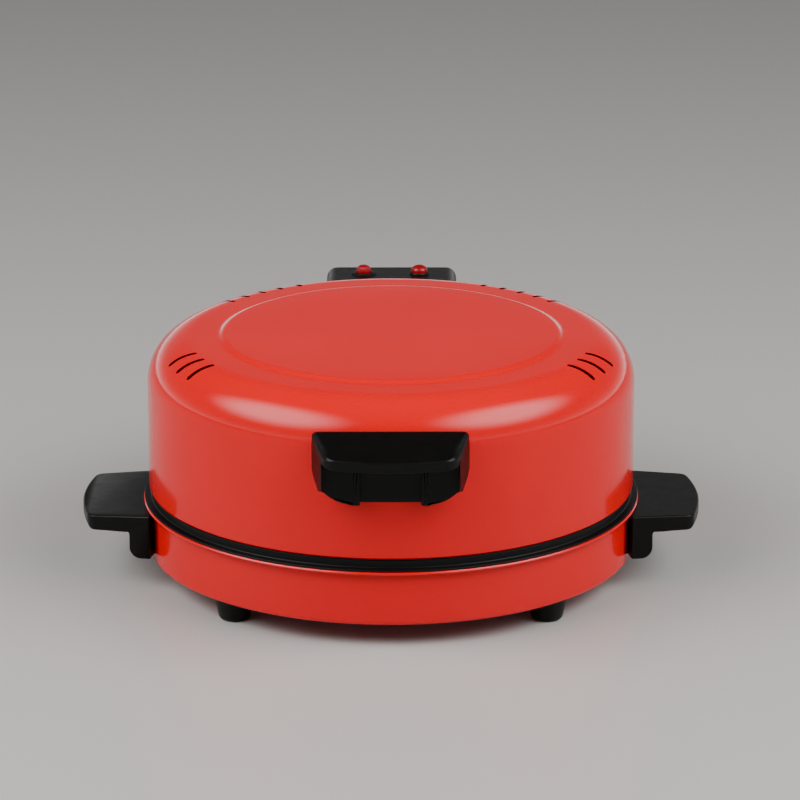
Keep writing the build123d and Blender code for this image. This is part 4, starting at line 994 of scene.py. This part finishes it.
def offWall(edge):  # edges that lie on the wall stay as they are cut
    onWall = all(math.hypot(v.co.x, v.co.y) < seats["nearWall"] for v in edge.verts)
    return 0.0 if onWall else grip["edge"]


softenEdges(lidGrip, offWall)
finishPiece(lidGrip, "lid_grip", phenolicBlack, "lid", ["lid_handle"])
print("lid handle made:", len(lidGrip.data.polygons), "faces")


# side handles: flat bowed grip with a skirt that is screwed to the wall

side = {
    "top": 60.3, "topDrop": 0.9, "under": 46.7, "underRise": 0.9, "reach": 248.5, "rootX": 192.5,
    "rootHalf": 61.0, "endHalf": 53.5, "bow": 7.4, "bowMarks": range(-44, 45, 4), "planCorner": 8.0,
    "heel": 183.0, "heelHalf": 18.0,
    "skirt": 208.6, "skirtTop": 57, "skirtStart": 0.8, "skirtBend": 0.4, "skirtInto": 7, "skirtRound": 9.0,
    "low": 25.0, "fillet": 2.5,
    "edge": 0.7, "topEdge": 1.5, "underEdge": 0.8, "noseEdge": 5.0, "rootEdge": 0.4, "nosePower": 3,
    "facing": 0.5,
    # how far cutters go past what they cut, and how near the wall an edge stays as it is cut
    "wide": 70, "past": (10, 80), "nearRoot": 0.1, "nearWall": 199.7,
}


def makeSideGrip():
    end = [(side["reach"] - side["bow"] * (y / side["endHalf"]) ** 2, y) for y in side["bowMarks"]]
    corner = side["reach"] - side["bow"]
    plan = evenly(roundedPath(
        [(side["heel"], side["heelHalf"]), (side["heel"], -side["heelHalf"]),
         (side["rootX"], -side["rootHalf"]), (corner, -side["endHalf"], side["planCorner"])] + end
        + [(corner, side["endHalf"], side["planCorner"]), (side["rootX"], side["rootHalf"])],
        stepDeg=7.5,
    ), seats["step"])

    def topRim(inward, place):
        return side["topEdge"] if inward.x < side["facing"] else side["rootEdge"]

    def underRim(inward, place):  # the free end is well rounded below, the long sides less
        if inward.x > side["facing"]:
            return side["rootEdge"]
        outward = max(0.0, -inward.x) ** side["nosePower"]
        return side["underEdge"] + (side["noseEdge"] - side["underEdge"]) * outward

    made = slab(plan, side["under"], side["top"], underRim, topRim, steps=6)
    middle = (side["under"] + side["top"]) / 2
    for vertex in made.verts:  # the grip thins a little towards its end
        share = (vertex.co.x - side["rootX"]) / (side["reach"] - side["rootX"])
        vertex.co.z -= (side["topDrop"] if vertex.co.z > middle else -side["underRise"]) * share
    piece = toObject(made)
    skirtOut = side["skirt"] + side["skirtInto"]
    skirtProfile = roundedPath([
        (side["heel"], side["skirtTop"]), (skirtOut, side["skirtTop"]),
        (skirtOut, side["under"] + side["skirtStart"]),
        (side["skirt"], side["under"] + side["skirtBend"], side["fillet"]),
        (side["skirt"], side["low"], side["skirtRound"]), (side["heel"], side["low"]),
    ], stepDeg=7.5)
    skirt = toObject(prism(skirtProfile, "XZ", -side["wide"], side["wide"]))
    combine(skirt, [prism(plan, "XY", *side["past"])], "INTERSECT")
    skirtMade = bmesh.new()
    skirtMade.from_mesh(skirt.data)
    bpy.data.objects.remove(skirt, do_unlink=True)
    combine(piece, [skirtMade], "UNION")
    combine(piece, [
        wallCutter(seats["wall"], low=10, length=60),
        wallCutter(seats["lipSide"], seats["lipFrom"], length=20),
    ], "DIFFERENCE")

    def freeEdge(edge):  # edges on the wall and under the lip stay as they are cut
        root = side["rootX"] + side["nearRoot"]
        near = all(v.co.x < root or math.hypot(v.co.x, v.co.y) < side["nearWall"] for v in edge.verts)
        return 0.0 if near else side["edge"]

    softenEdges(piece, freeEdge)
    return piece


rightGrip = makeSideGrip()
leftGrip = makeSideGrip()
leftGrip.data.transform(Matrix.Scale(-1, 4, (1, 0, 0)))
leftGrip.data.flip_normals()
finishPiece(rightGrip, "side_grip_right", phenolicBlack, "base", ["side_handle_right"])
finishPiece(leftGrip, "side_grip_left", phenolicBlack, "base", ["side_handle_left"])
print("side handles made")


# feet: tapered mouldings with a screw recess

foot = {
    "low": 12.0, "high": 16.0, "height": 17.6, "edge": 3.2, "topEdge": 0.5, "recess": 5.5, "recessEdge": 0.6,
    "recessDeep": 8.0, "hole": 2.2, "segments": 72,
}
for name in ("front_left", "front_right", "rear_left", "rear_right"):
    low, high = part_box("foot_" + name)
    loop = roundedPath([
        (foot["hole"], foot["height"]), (foot["high"], foot["height"], foot["topEdge"]),
        (foot["low"], 0, foot["edge"]), (foot["recess"], 0, foot["recessEdge"]),
        (foot["recess"], foot["recessDeep"]), (foot["hole"], foot["recessDeep"]),
    ], stepDeg=12.0)
    made = lathe(loop, foot["segments"])
    # the middle of the solid foot's box, from metres
    made.transform(Matrix.Translation(((low.x + high.x) * 500, (low.y + high.y) * 500, 0)))
    finishPiece(toObject(made), "foot_moulding_" + name, phenolicBlack, "base",
                ["foot_" + name], sharpDeg=30)
print("feet made")


# lamps: a flared bezel with a faceted lens on the left, a slim one with a dome on the right

lamp = {
    "x": 23.5, "y": 217.0, "seat": 184.0, "bore": 6.5, "segments": 72,
    "flare": 10.4, "neck": 7.5, "height": 1.2, "slimFlare": 7.9, "slimNeck": 7.3, "slimHeight": 1.5,
    "rim": 0.6, "rimRound": 0.25, "neckSlope": 0.5, "neckBend": 0.4, "neckRound": 0.2,
    "lensLow": 185.2, "lensTop": 191.6, "stemPlay": 0.1, "lensPlay": 0.05, "domeRadius": 6.9, "domeWall": 1.4,
    "domeSteps": 12, "facetRadius": 6.3, "facets": 12,
    # rings of facets: share of the radius and of the height
    "facetRings": ((1.0, 0.3), (0.93, 0.58), (0.72, 0.82), (0.4, 0.96), (0.0, 1.0)),
}
bezelParts = []
for where, flare, neck, height in ((-1, lamp["flare"], lamp["neck"], lamp["height"]),
                                   (1, lamp["slimFlare"], lamp["slimNeck"], lamp["slimHeight"])):
    bezelLoop = roundedPath([
        (lamp["bore"], lamp["seat"]), (flare, lamp["seat"], lamp["rimRound"]),
        (flare, lamp["seat"] + lamp["rim"], lamp["rimRound"]),
        (neck + lamp["neckSlope"], lamp["seat"] + height - lamp["neckSlope"], lamp["neckBend"]),
        (neck, lamp["seat"] + height, lamp["neckRound"]), (lamp["bore"], lamp["seat"] + height),
    ], stepDeg=12.0)
    made = lathe(bezelLoop, lamp["segments"])
    made.transform(Matrix.Translation((where * lamp["x"], lamp["y"], 0)))
    bezelParts.append(made)
bezels = toObject(merged(bezelParts))
finishPiece(bezels, "lamp_rings", nylonBlack, "lid", ["lamp_bezels"], sharpDeg=35)

# the dome: a short stem in the bezel, a low wall and a round cap
stem, domeLow = lamp["bore"] - lamp["stemPlay"], lamp["seat"] + lamp["slimHeight"] + lamp["lensPlay"]
domePath = [Vector((0, lamp["lensLow"])), Vector((stem, lamp["lensLow"])),
            Vector((stem, domeLow)), Vector((lamp["domeRadius"], domeLow))]
wallTop = lamp["seat"] + lamp["slimHeight"] + lamp["domeWall"]
for k in range(lamp["domeSteps"] + 1):
    turn = math.pi / 2 * k / lamp["domeSteps"]
    domePath.append(Vector((lamp["domeRadius"] * math.cos(turn),
                            wallTop + (lamp["lensTop"] - wallTop) * math.sin(turn))))
domePath[-1].x = 0.0
domeMade = lathe(domePath, lamp["segments"])
domeMade.transform(Matrix.Translation((lamp["x"], lamp["y"], 0)))
finishPiece(toObject(domeMade), "lens_dome", lensRed, "lid", ["lamp_lens_right"],
            sharpDeg=50)

facetPath = [Vector((0, lamp["lensLow"])), Vector((lamp["facetRadius"], lamp["lensLow"]))]
facetHigh = lamp["lensTop"] - lamp["lensLow"]
for share, lift in lamp["facetRings"]:
    facetPath.append(Vector((lamp["facetRadius"] * share, lamp["lensLow"] + facetHigh * lift)))
facetMade = lathe(facetPath, lamp["facets"])
facetMade.transform(Matrix.Translation((-lamp["x"], lamp["y"], 0)))
finishPiece(toObject(facetMade), "lens_faceted", lensRed, "lid", ["lamp_lens_left"],
            sharpDeg=3)
print("lamps made")
